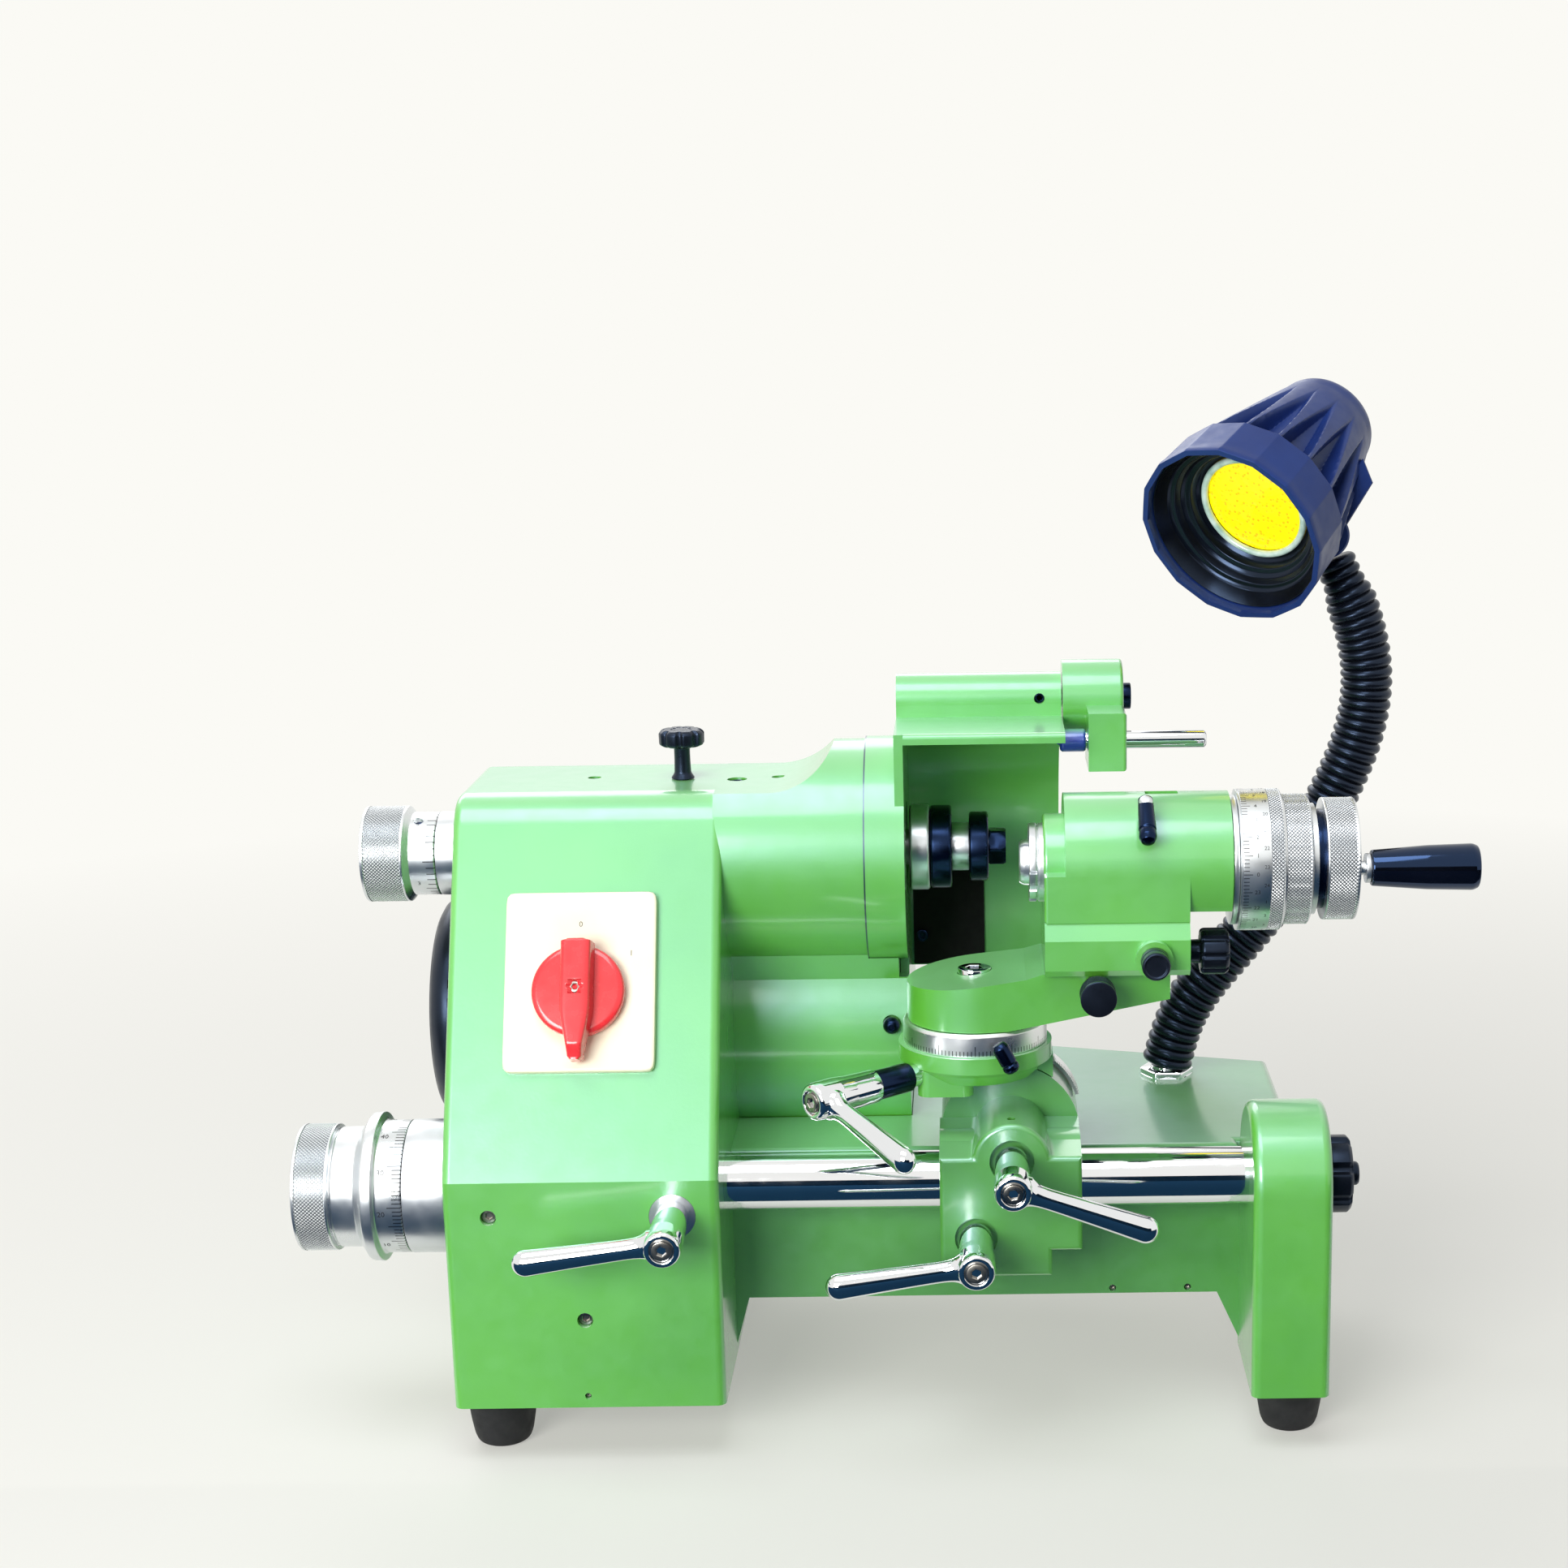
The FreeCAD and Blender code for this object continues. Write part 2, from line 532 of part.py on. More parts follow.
def spindle():
    axis = (S.spin_y, S.spin_z)
    quill = cut(rod("X", axis, S.quill_x, S.quill_end, S.quill_rad),
                rod("X", axis, S.quill_x + 9, S.quill_end + 1, S.quill_bore_rad),
                rod("X", axis, S.quill_x - 1, S.quill_x + 10, 5 + S.fit))
    piece("spindle_quill", quill)
    rings = [cut(rod("X", axis, start, start + 12, S.quill_bore_rad),
                 rod("X", axis, start - 1, start + 13, S.shaft_rad + S.fit)) for start in (-168, -58)]
    piece("spindle_bearings", fuse(*rings))
    shaft = turned("X", axis, [(-166, 0), (-166, S.shaft_rad), (9.3, S.shaft_rad), (9.3, 18.5), (10.3, 19.5),
                               (18.5, 19.5), (18.5, 7.5), (52, 7.5), (52, 0)])
    piece("spindle_shaft", shaft)
    pulley = turned("X", axis, [(-38, S.shaft_rad), (-38, 22), (-37, 22), (-36, S.spindle_pulley_rad),
                                (-16, S.spindle_pulley_rad), (-16, S.shaft_rad)])
    piece("spindle_pulley", pulley)
    collar = turned("X", axis, [(18.5, 7.5), (18.5, 18.2), (19.3, 19), (27.7, 19), (28.5, 18.2), (28.5, 11),
                                (36.3, 11), (36.3, 7.5)])
    flange = turned("X", axis, [(36.3, 7.5), (36.3, 15), (37.1, 15.8), (44.4, 15.8), (45.2, 15),
                                (45.2, 7.5)])
    piece("wheel_flanges", fuse(collar, flange))
    piece("wheel_nut", cut(knob("X", axis, 45.2, 53, 8.7, 0.8), rod("X", axis, 45, 52, 7.5)))


def spindle_feed():
    axis = (S.spin_y, S.spin_z)
    dial = turned("X", axis, [(-237.6, 0), (-237.6, 20.6), (-236.4, 21.8), (-218.2, 21.8), (-215.6, 19),
                              (-204.3, 19), (-204.3, 5), (-171, 5), (-171, 0)])
    piece("spindle_feed_knob", dial)
    stem = turned("Z", (-93, S.spin_y), [(272.4, 0), (272.4, 3.3), (281.4, 3.3), (281.4, 5.5),
                                         (284, 3.6), (296, 3.6), (296, 9.5), (297, 10.3), (303, 10.3),
                                         (304, 9.5), (304, 0)])
    piece("spindle_lock_knob", stem)


# Guide bar

def guide_bar():
    axis = (S.bar_y, S.bar_z)
    bar = rod("X", axis, S.bar_x, S.bar_end, S.bar_rad)
    bar = soften(bar, 1, lambda edge: lies_at(edge, "X", S.bar_end))
    piece("guide_bar", cut(bar, rod("X", axis, S.bar_x - 1, S.bar_x + 50, S.bar_screw_rad + S.fit)))
    dial = turned("X", axis, [(-255.9, 0), (-255.9, 26.2), (-254.4, 27.7), (-240.4, 27.7), (-240.4, 25.4),
                              (-239.2, 25.4), (-239.2, 26.2), (-229, 26.2), (-225.5, 31.4), (-224.3, 32.6),
                              (-221.2, 32.6), (-220, 31.4), (-220, 29), (-208.3, 29),
                              (-208.3, S.bar_screw_rad), (-150, S.bar_screw_rad), (-150, 0)])
    piece("bar_feed_knob", dial)
    spindle_sleeve = turned("X", (S.spin_y, S.spin_z), [(-204, 5.2), (-204, 18.4), (-203.4, 19),
                                                        (S.col_left, 19), (S.col_left, 5.2)])
    bar_sleeve = turned("X", axis, [(-208, 6.2), (-208, 28.3), (-207.2, 29.1), (S.col_left, 29.1),
                                    (S.col_left, 6.2)])
    piece("dial_sleeves", fuse(spindle_sleeve, bar_sleeve))
    stop = turned("X", axis, [(183, 0), (183, 4.9), (190.3, 4.9), (190.3, 16), (191.3, 17), (200, 17),
                              (201, 16), (201, 5.2), (204, 5.2), (205, 4.2), (205, 0)])
    piece("bar_stop_knob", stop)


def clamp_lever(name, root, swing, aim=0, hub=41, stud=(14, 4.9), reach=58):
    """A cranked clamp lever. The hub points at the operator, turned by aim about the vertical;
    swing is how far the arm hangs below +X. The stud is its (length, radius) behind the hub."""
    hub_rad, arm_y = 8, -hub + 8
    body = turned("Y", (0, 0), [(-hub - 1.5, 0), (-hub - 1.5, 4), (-hub, 4), (-hub, hub_rad - 1.5),
                                (-hub + 1.5, hub_rad), (-12, hub_rad), (-10, hub_rad - 1),
                                (-0.4, hub_rad - 1), (-0.4, stud[1]), (stud[0], stud[1]), (stud[0], 0)])
    arm = fuse(cone("X", (arm_y, 0), 0, reach, 4.4, 5.6), ball((reach, arm_y, 0), 5.9))
    lever = fuse(body, arm)
    turn = Rotation(Vector(0, 0, 1), aim).multiply(Rotation(Vector(0, 1, 0), swing))
    return piece(name, place(lever, root, turn))


# Carriage

def on_ridge(edge, rear_y):
    """Whether an edge is where the round ridge boss comes out of the carriage's sloped top."""
    size = edge.BoundBox
    beside = 14 < abs(size.Center.x - S.drum_x.value) < 18
    return beside and size.ZMin > S.bar_z.value and size.YLength > 20 and size.YMax < rear_y.value


def carriage():
    bar = (S.bar_y, S.bar_z)
    start, end = S.carriage_x, S.carriage_end
    bush = cut(rod("X", bar, start + 2, end - 2, S.bush_rad), rod("X", bar, start, end, S.bar_rad + S.fit))
    piece("carriage_bush", bush)
    rear_y = S.bar_y + 22
    section = [(S.carriage_front_y, 93), (S.carriage_front_y, S.carriage_top_z),
               (S.pivot_y, S.carriage_top_z + 5), (rear_y, S.carriage_top_z - 1), (rear_y, S.bar_z),
               (S.bar_y + 6, 96), (S.bar_y - 5, 93)]
    block = prism("YZ", section, start, end)
    apron = box((start, start + 48), (S.carriage_front_y, S.carriage_front_y + 22), (S.carriage_low_z, 94))
    boss = rod("Y", (S.drum_x, S.drum_z), S.carriage_front_y, S.pivot_y + 1, 16.5)
    front = fuse(block, apron, boss)
    front.Refine = True
    front = soften(front, 2, lambda edge: lies_at(edge, "Y", S.carriage_front_y))
    front = soften(front, 3, lambda edge: on_ridge(edge, rear_y))
    barrel = rod("X", bar, start, end, 22)
    drum = common(rod("Y", (S.drum_x, S.drum_z), S.pivot_y, S.drum_back_y, S.drum_rad),
                  fuse(box((0, 110), (S.pivot_y - 1, rear_y), (106, 180)),
                       box((0, 110), (S.pivot_y - 1, S.drum_back_y + 1), (127, 180))))
    solid = fuse(front, barrel, drum)
    piece("carriage_body", cut(solid,
          rod("X", bar, start + 1.7, end - 1.7, S.bush_rad + S.fit),
          rod("X", bar, start - 1, end + 1, S.bar_rad + 0.6),
          rod("Y", (37.4, 99), S.carriage_front_y - 1, S.carriage_front_y + 12, 4.9 + S.fit),
          rod("Y", (37.4, 99), S.carriage_front_y - 1, S.carriage_front_y + 3, 9.2),
          rod("Y", (S.drum_x, S.drum_z), S.carriage_front_y - 1, S.carriage_front_y + 15, 3 + S.fit),
          rod("Y", (S.drum_x, S.drum_z), S.carriage_front_y - 1, S.carriage_front_y + 4, 9.6),
          rod("Z", (S.drum_x, S.carriage_front_y + 9), S.drum_z + 10, S.drum_z + 20, 1.8)))


def swivel():
    pivot = (S.pivot_x, S.pivot_y)
    ring = turned("Z", pivot, [(S.ring_z - 5, 0), (S.ring_z - 5, 26), (S.ring_z, 31),
                               (S.ring_z + 2, S.ring_rad), (S.scale_z, S.ring_rad), (S.scale_z, 0)])
    saddle = box((15, 72), (S.pivot_y + 0.4, S.pivot_y + 33), (156, S.ring_z + 1))
    lobe = box((13, 37), (S.pivot_y - 24, S.pivot_y + 4), (157, S.ring_z + 1))
    lobe = soften(lobe, 5, upright)
    drum_room = rod("Y", (S.drum_x, S.drum_z), S.pivot_y - 0.4, S.drum_back_y + 1, S.drum_rad + 0.4)
    boss_room = rod("Y", (S.drum_x, S.drum_z), S.pivot_y - 50, S.pivot_y, 24)
    stud_hole = doc.addObject("Part::Cylinder", "StudHole")
    bind(stud_hole, "Radius", 5 + S.fit)
    bind(stud_hole, "Height", 18)
    root = TILT_ROOT
    aim = Rotation(Vector(0, 0, 1), TILT_AIM).multiply(TURN["Y"])
    stud_hole = place(stud_hole, root, aim)
    base = cut(fuse(ring, saddle, lobe), drum_room, boss_room, stud_hole,
               rod("Z", pivot, S.ring_z - 1, S.scale_z + 1, 4.2))
    piece("swivel_base", base)
    scale = turned("Z", pivot, [(S.scale_z, 4.2), (S.scale_z, 31.4), (S.arm_z - 1.3, 31.4),
                                (S.arm_z - 0.3, 30.4), (S.arm_z - 0.3, 4.2)])
    lock_hole = rod("Y", (50, S.scale_z + 3.7), S.pivot_y - 34, S.pivot_y - 22, 2.6)
    piece("swivel_scale", cut(scale, lock_hole))
    lock = fuse(rod("Y", (0, 0), -3, 7, 2.5), knob("Z", (0, -6), -9, 5, 3.6, 1.5))
    place(lock, (50, S.pivot_y - 31.5, S.scale_z + 3.7), Rotation(Vector(0, 1, 0), -28))
    piece("swivel_lock_lever", lock)


def swivel_arm():
    end = S.arm_end
    front = math.radians(8)
    plan = rod("Z", (S.pivot_x, S.pivot_y), S.arm_z, 220, 29.4)
    touch = (S.pivot_x + 29.4 * math.sin(front), S.pivot_y - 29.4 * math.cos(front))
    blade = prism("XY", [(S.pivot_x, S.pivot_y), touch, (end, S.pivot_y - 18), (end, S.pivot_y + 26),
                         (S.pivot_x, S.pivot_y + 29.4)], S.arm_z, 220)
    plan = fuse(plan, blade)
    plan.Refine = True
    side = [(0, S.arm_z), (52, S.arm_z), (end, 198), (end, S.slide_z - 0.3), (67, S.slide_z - 0.3),
            (60, 209.5), (0, 202.5)]
    profile = prism("XZ", side, S.pivot_y - 40, S.pivot_y + 40)
    solid = common(plan, profile)
    solid = cut(solid, rod("Z", (S.pivot_x, S.pivot_y), S.arm_z - 1, 215, 4.05),
                rod("Z", (S.pivot_x, S.pivot_y), 205, 215, 7.6),
                rod("Y", (90, 206), S.pivot_y - 30, S.pivot_y - 6, 3.05))
    piece("swivel_arm", solid)
    piece("pivot_screw", turned("Z", (S.pivot_x, S.pivot_y), [(S.ring_z + 1, 0), (S.ring_z + 1, 4), (205, 4),
                                (205, 7.2), (207.4, 7.2), (208.6, 5), (208.6, 0)]))


# Workhead

def workhead():
    front_y, back_y = S.pivot_y - 33, S.pivot_y + 30
    slide = prism("YZ", [(front_y + 3, S.slide_z), (front_y, S.slide_z + 3), (front_y, 227.7),
                         (front_y + 4, S.slide_top_z), (back_y, S.slide_top_z), (back_y, S.slide_z)],
                  S.slide_x, S.slide_end)
    boss = rod("Y", (114, 220), front_y - 4, front_y + 2, 8)
    feed_hole = rod("X", (S.pivot_y - 12, 217.6), S.slide_end - 30, S.slide_end + 1, 3.05)
    gib_hole = rod("Y", (114, 220), front_y - 5, front_y + 16, 3.05)
    piece("cross_slide", cut(fuse(slide, boss), feed_hole, gib_hole))
    head_front = S.pivot_y - S.head_rad
    step_x = S.slide_x + 9
    barrel = common(fuse(rod("X", (S.pivot_y, S.head_z), step_x, S.head_end, S.head_rad),
                         rod("X", (S.pivot_y, S.head_z), S.slide_x, step_x, 21)),
                    box((S.slide_x - 1, S.head_end + 1), (-90, 0), (S.head_z - 17, S.head_z + 40)))
    foot = box((S.slide_x, S.slide_end), (head_front, S.pivot_y + 28), (S.slide_top_z, S.head_z))
    body = fuse(barrel, foot)
    body.Refine = True
    body = soften(body, 1.5, lambda edge: lies_at(edge, "X", S.slide_x))
    bore = rod("X", (S.pivot_y, S.head_z), S.slide_x - 1, S.head_end + 1, S.nose_rad + S.fit)
    slot = box((112, 126), (S.pivot_y - 3, S.pivot_y + 3), (S.head_z + 26, S.head_z + 32))
    pin_hole = index_stem(28, 42, 3.05)
    piece("workhead_body", cut(body, bore, slot, pin_hole))
    feed = turned("X", (S.pivot_y - 12, 217.6), [(S.slide_end - 28, 0), (S.slide_end - 28, 3), (130.4, 3),
                  (130.4, 5), (135, 5), (135, 9.2), (136, 10), (146.3, 10), (147.3, 9), (147.3, 0)])
    piece("slide_feed_knob", feed)
    arm_front = S.pivot_y - 22
    lock = turned("Y", (90, 206), [(-93, 0), (-93, 6.9), (-92, 7.7), (-83, 7.7), (-82, 6.9), (-82, 5),
                                   (arm_front - 2, 5), (arm_front - 2, 3), (arm_front + 12, 3),
                                   (arm_front + 12, 0)])
    piece("slide_lock_knob", lock)
    gib = turned("Y", (114, 220), [(-94, 0), (-94, 5.4), (-93, 6), (-83.6, 6), (-83.6, 3), (-68, 3),
                                   (-68, 0)])
    piece("gib_lock_knob", gib)


def index_stem(start, end, radius):
    """A pin that stands radially on the upper front of the workhead."""
    pin = doc.addObject("Part::Cylinder", "Pin")
    bind(pin, "Radius", radius)
    bind(pin, "Height", end - start)
    lean = Rotation(Vector(1, 0, 0), INDEX_LEAN)
    foot = lean.multVec(Vector(0, 0, start))
    return place(pin, (111, S.pivot_y + foot.y, S.head_z + foot.z), lean)


def index_lever():
    """The short black indexing lever: a stem, and an arm that lies along the front."""
    foot = Rotation(Vector(1, 0, 0), INDEX_LEAN).multVec(Vector(0, 0, 36.5))
    down = Rotation(Vector(1, 0, 0), INDEX_LEAN + 90)
    arm = turned("Z", (0, 0), [(-3.4, 0), (-3.4, 2.2), (-2.2, 3.4), (2, 3.4), (18, 3.8), (20, 3.6),
                               (21.4, 2.4), (21.4, 0)])
    place(arm, (111, S.pivot_y + foot.y, S.head_z + foot.z), down.multiply(LATHE["Z"]))
    return piece("index_lever", fuse(index_stem(29.5, 39, 3), arm))


def work_spindle():
    axis = (S.pivot_y, S.head_z)
    tube = cut(turned("X", axis, [(62, 0), (62, 16), (63, S.nose_rad), (148, S.nose_rad), (148, 28),
                                  (150.8, 28), (150.8, 0)]),
               rod("X", axis, 61, 112, 10), rod("X", axis, 111, 151, 6))
    piece("workhead_spindle", tube)
    collet = cut(turned("X", axis, [(58, 0), (58, 8.5), (59, 9.5), (62, 10), (111, 10), (111, 0)]),
                 rod("X", axis, 57, 90, 3))
    piece("collet", collet)
    dial = turned("X", axis, [(150.8, 0), (150.8, 29.7), (151.6, 30.5), (169.7, 30.5), (169.7, 28.2),
                              (181.2, 28.2), (182, 27.4), (182, 24), (184.4, 24), (184.4, 0)])
    piece("index_dial", cut(dial, rod("X", axis, 150, 178, 6)))
    wheel = knob("X", axis, 184.4, 203.6, 26.4, 1.2)
    pin = rod("X", (S.pivot_y - 20, S.head_z), 200, 246, 3)
    piece("hand_knob", fuse(wheel, pin))
    grip = turned("X", (S.pivot_y - 20, S.head_z), [(204, 3.1), (204, 6.5), (206, 7.5), (206, 8), (230, 9.6),
                  (249, 10), (251, 9.3), (252, 8), (252, 0), (246.6, 0), (246.6, 3.1)])
    piece("crank_handle", grip)


# Wheel guard and dresser

def wheel_guard():
    axis = (S.spin_y, S.spin_z)
    near, far = 4, S.guard_end
    top_z = S.spin_z + S.guard_rad
    collar = rod("X", axis, S.barrel_end, near + 4, S.barrel_rad + 1)
    lip_y = S.spin_y - 43
    back_y, low_z = S.spin_y + S.guard_rad, 178
    cheek = fuse(box((near, near + 4), (lip_y, S.spin_y), (S.spin_z, top_z)),
                 common(rod("X", axis, near, near + 4, S.guard_rad),
                        box((near, near + 4), (S.spin_y - 1, back_y), (S.spin_z, top_z))),
                 box((near, near + 4), (S.spin_y, back_y), (low_z, S.spin_z)))
    tube = cut(rod("X", axis, near, far, S.guard_rad),
               rod("X", axis, near - 1, far + 1, S.guard_rad - S.guard_wall))
    hood = fuse(common(tube, box((near, far), (S.spin_y, back_y + 1), (S.spin_z, top_z + 1))),
                box((near, far), (back_y - S.guard_wall, back_y), (low_z, S.spin_z)))
    plate = box((near, far), (lip_y, S.spin_y + 1), (top_z - 4.5, top_z))
    plate = soften(plate, 2, lambda edge: lies_at(edge, "Y", lip_y) and lies_at(edge, "Z", top_z))
    boss = rod("X", (S.boss_y, S.boss_z), near, far, S.boss_rad)
    neck = box((near, far), (S.boss_y - 11.4, S.boss_y + 11.4), (S.spin_z + 52, S.boss_z))
    neck = cut(neck, rod("X", axis, near - 1, far + 1, S.guard_rad - 1))
    solid = fuse(collar, cheek, hood, plate, boss, neck)
    piece("wheel_guard", cut(solid, rod("X", axis, S.barrel_end - 1, near + 5, 21),
          rod("X", (S.boss_y, S.boss_z), far - 21, far + 1, 5 + S.fit),
          rod("Y", (69, S.boss_z + 1), S.boss_y - 12, S.boss_y - 8, 2.4)))
    inner_y = back_y - S.guard_wall
    piece("guard_flap", box((9, 43), (inner_y - 2, inner_y), (low_z + 1, 236)))


def dresser():
    axis = (S.boss_y, S.boss_z)
    start, end = S.guard_end + 0.5, 107
    hub = rod("X", axis, start, end, 17)
    lug = box((90, end), (-2, S.boss_y - 5), (286, S.boss_z - 1.5))
    arm = fuse(hub, lug)
    arm.Refine = True
    arm = soften(arm, 1.5, lambda edge: lies_at(edge, "X", end))
    piece("dresser_arm", cut(arm, rod("X", axis, start - 1, end + 1, 5 + S.fit),
          rod("X", (S.diamond_y, S.diamond_z), 89, end + 1, 4 + S.fit)))
    tool = turned("X", (S.diamond_y, S.diamond_z), [(74, 0), (78, 2.5), (78, 5.2), (89.6, 5.2), (89.6, 4),
                                                    (143, 4), (144, 3), (144, 0)])
    piece("dresser_rod", tool)


# Switch and cable gland

def place_on_panel(thing, along, up, out):
    """Put a solid on the sloped panel: along it, up it and out of it from the plate's centre."""
    lean = math.radians(S.lean.value)
    centre_y = S.front_y.value + (S.plate_z.value - S.crease_z.value) * math.tan(lean)
    step_y = up * math.sin(lean) - out * math.cos(lean)
    step_z = up * math.cos(lean) + out * math.sin(lean)
    turn = Rotation(Vector(1, 0, 0), 90 - S.lean.value)
    return place(thing, (S.plate_x + along, Dim(centre_y + step_y), S.plate_z + step_z), turn)


def switch():
    thick = S.plate_thick
    plate = box((0, S.plate_wide), (0, S.plate_tall), (0, thick))
    plate = soften(plate, 1.2, lambda edge: lies_at(edge, "Z", thick))
    plate = cut(plate, rod("Z", (S.plate_wide / 2, S.plate_tall / 2 - 5), -1, thick + 1, 9))
    piece("switch_plate", place_on_panel(plate, -S.plate_wide.value / 2, -S.plate_tall.value / 2, 0))
    block = fuse(box((-20, 20), (-20, 20), (-32, -0.2)), rod("Z", (0, 0), -1, thick, 8.6))
    piece("switch_body", cut(place_on_panel(block, 0, -5, 0), switch_shaft(3.1, -12, 7)))
    dial = turned("Z", (0, 0), [(-8, 0), (-8, 3), (thick + 0.4, 3), (thick + 0.4, 19), (thick + 1.4, 20),
                                (thick + 5, 20), (thick + 6.5, 18), (thick + 6.5, 0)])
    grip = box((-5, 5), (-31, 21), (thick + 4, thick + 15))
    grip = soften(grip, 3, lambda edge: lies_at(edge, "Z", thick + 15))
    piece("switch_knob", place_on_panel(fuse(dial, grip), 0, -5, 0))


def switch_shaft(radius, start, end):
    shaft = doc.addObject("Part::Cylinder", "Shaft")
    bind(shaft, "Radius", radius)
    bind(shaft, "Height", end - start)
    return place_on_panel(shaft, 0, -5, start)


def cable_gland():
    axis = (S.back_y - 34, 45)
    body = turned("X", axis, [(-208, 0), (-208, 6), (-204, 8.5), (-197, 8.5), (-197, 10.5),
                              (S.col_left, 10.5), (S.col_left, 6.3), (-181, 6.3), (-181, 0)])
    return piece("cable_gland", cut(body, rod("X", axis, -209, -177, 4)))


# Lamp

def gooseneck():
    """The ribbed hose: ruled lofts through circles that stand square on a smooth route."""
    curve = Part.BSplineCurve()
    curve.interpolate([Vector(x, S.lamp_y.value, z) for x, z in HOSE_ROUTE])
    length = curve.length()

    def ring(distance, radius):
        spot = curve.parameterAtDistance(distance, curve.FirstParameter)
        ahead = curve.tangent(spot)[0]
        circle = Part.Circle(curve.value(spot), ahead, radius)
        circle.XAxis = Vector(0, 1, 0)
        return Part.Wire(circle.toShape())

    pitch = length / HOSE_RIBS
    groove, crest = S.hose_groove_rad.value, S.hose_rad.value
    steps = ((0, groove), (0.2, crest), (0.6, crest), (0.8, groove))
    rings = [ring((number + part) * pitch, radius) for number in range(HOSE_RIBS) for part, radius in steps]
    rings.append(ring(length, groove))
    bore = [ring(length * number / 40, S.hose_bore_rad.value) for number in range(41)]
    hose = doc.addObject("Part::Feature", "Hose")
    hose.Shape = Part.makeLoft(rings, True, True).cut(Part.makeLoft(bore, True, True))
    hose.Placement = Placement()
    print("hose length", round(length, 1), "volume", round(hose.Shape.Volume))
    piece("lamp_gooseneck", hose)
    nut = turned("Z", (S.lamp_x, S.lamp_y), [(S.bed_top_z - 12, 0), (S.bed_top_z - 12, 6), (S.bed_top_z, 6),
                 (S.bed_top_z, 13), (124, 13), (125, 12), (125, 0)])
    piece("lamp_nut", cut(nut, rod("Z", (S.lamp_x, S.lamp_y), S.bed_top_z - 13, 128, 4)))


def lamp_round(outline):
    """A turned piece of the lamp head; places along the axis count from the rim backwards."""
    solid = turned("X", (0, 0), outline)
    solid.Placement = Placement(RIM_CENTRE, Rotation(Vector(1, 0, 0), LAMP_BACK))
    return solid


def lamp():
    length, rim = S.lamp_len, S.rim_rad
    outer = lamp_round([(0, 0), (0, rim), (26, rim - 1.5), (28, 40), (86, 27), (96, 25), (length, 18),
                        (length, 0)])
    hollow = lamp_round([(-1, 0), (-1, rim - 3), (24, rim - 4.5), (27, 37), (85, 24.5), (94, 22),
                         (98, 16), (98, 0)])
    knuckle = ball(tuple(KNUCKLE), 11.6)
    head = fuse(cut(outer, hollow), knuckle)
    piece("lamp_head", head)
    piece("lamp_reflector", lamp_round([(6, 41.4), (22, 40), (27, 35), (32, 33), (38, 23.5), (46, 20.5),
                                        (60, 19), (60, 0), (55, 0), (54, 10), (34, 22), (26, 26.5),
                                        (19, 32.6), (11, 34.6)]))
    piece("lamp_lens", lamp_round([(24.3, 0), (24.3, 24), (26.3, 25.5), (28, 25), (28, 0)]))


def build():
    column_casting()
    bearing_sleeves()
    motor_housing()
    bed_casting()
    end_bracket()
    feet()
    covers()
    cap_screws()
    motor()
    belt()
    spindle()
    spindle_feed()
    guide_bar()
    clamp_lever("bar_clamp_lever", (-92, S.front_y, S.bar_z - 4), 172.5, stud=(19.5, 4.9))
    carriage()
    clamp_lever("carriage_clamp_lever", (37.4, S.carriage_front_y, 99), 172, stud=(11, 4.9))
    clamp_lever("relief_clamp_lever", (S.drum_x, S.carriage_front_y, S.drum_z), 19, stud=(14, 3))
    swivel()
    clamp_lever("tilt_clamp_lever", TILT_ROOT, 16.3, TILT_AIM, hub=53, stud=(16, 5), reach=52)
    swivel_arm()
    workhead()
    index_lever()
    work_spindle()
    wheel_guard()
    dresser()
    switch()
    cable_gland()
    gooseneck()
    lamp()


def check_and_write():
    doc.recompute()
    for each in doc.Objects:
        if "Invalid" in each.State or "Error" in each.State:
            raise SystemExit(f"{each.Name} ({each.Label}) failed: {each.State}")
    for each in pieces:
        if each.Shape.isNull() or not each.Shape.isValid() or not each.Shape.Solids:
            raise SystemExit(f"{each.Label} has no valid solid")
    os.makedirs("parts", exist_ok=True)
    whole = FreeCAD.BoundBox()
    for each in pieces:
        each.Shape.exportStep(f"parts/{each.Label}.step")
        whole.add(each.Shape.BoundBox)
    print(len(pieces), "pieces", whole)


build()
check_and_write()
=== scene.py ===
# %% [markdown]
# # A small bench grinder, dressed for its picture
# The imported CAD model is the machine: castings, shafts and joints, each in its real place. This
# notebook gives it its looks. It paints the castings, and where a piece needs finer detail than a
# solid model carries (knurling, engraved scales, lamp fins, chromed levers) it works out a new
# surface and lets it ride on the same moving body.

# %% Load the machine
import math
import bpy
import bmesh
import numpy as np
from mathutils import Matrix, Vector


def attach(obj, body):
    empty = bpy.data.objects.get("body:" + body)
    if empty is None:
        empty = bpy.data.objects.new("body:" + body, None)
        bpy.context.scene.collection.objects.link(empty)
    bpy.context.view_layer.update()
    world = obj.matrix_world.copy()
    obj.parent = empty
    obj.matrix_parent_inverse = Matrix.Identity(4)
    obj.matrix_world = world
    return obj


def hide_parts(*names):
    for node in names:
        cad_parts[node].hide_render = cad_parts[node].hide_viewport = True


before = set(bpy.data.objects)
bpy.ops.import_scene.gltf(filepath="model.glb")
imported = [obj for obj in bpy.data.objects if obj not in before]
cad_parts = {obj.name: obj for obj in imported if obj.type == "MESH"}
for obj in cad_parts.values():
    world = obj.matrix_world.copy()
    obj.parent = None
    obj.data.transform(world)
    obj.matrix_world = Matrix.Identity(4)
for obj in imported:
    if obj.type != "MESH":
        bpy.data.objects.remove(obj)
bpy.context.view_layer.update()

# %% [markdown]
# ## Camera
# The picture was taken from a little above and square on to the guide bar, with a long lens. The
# horizon tips by less than a degree.

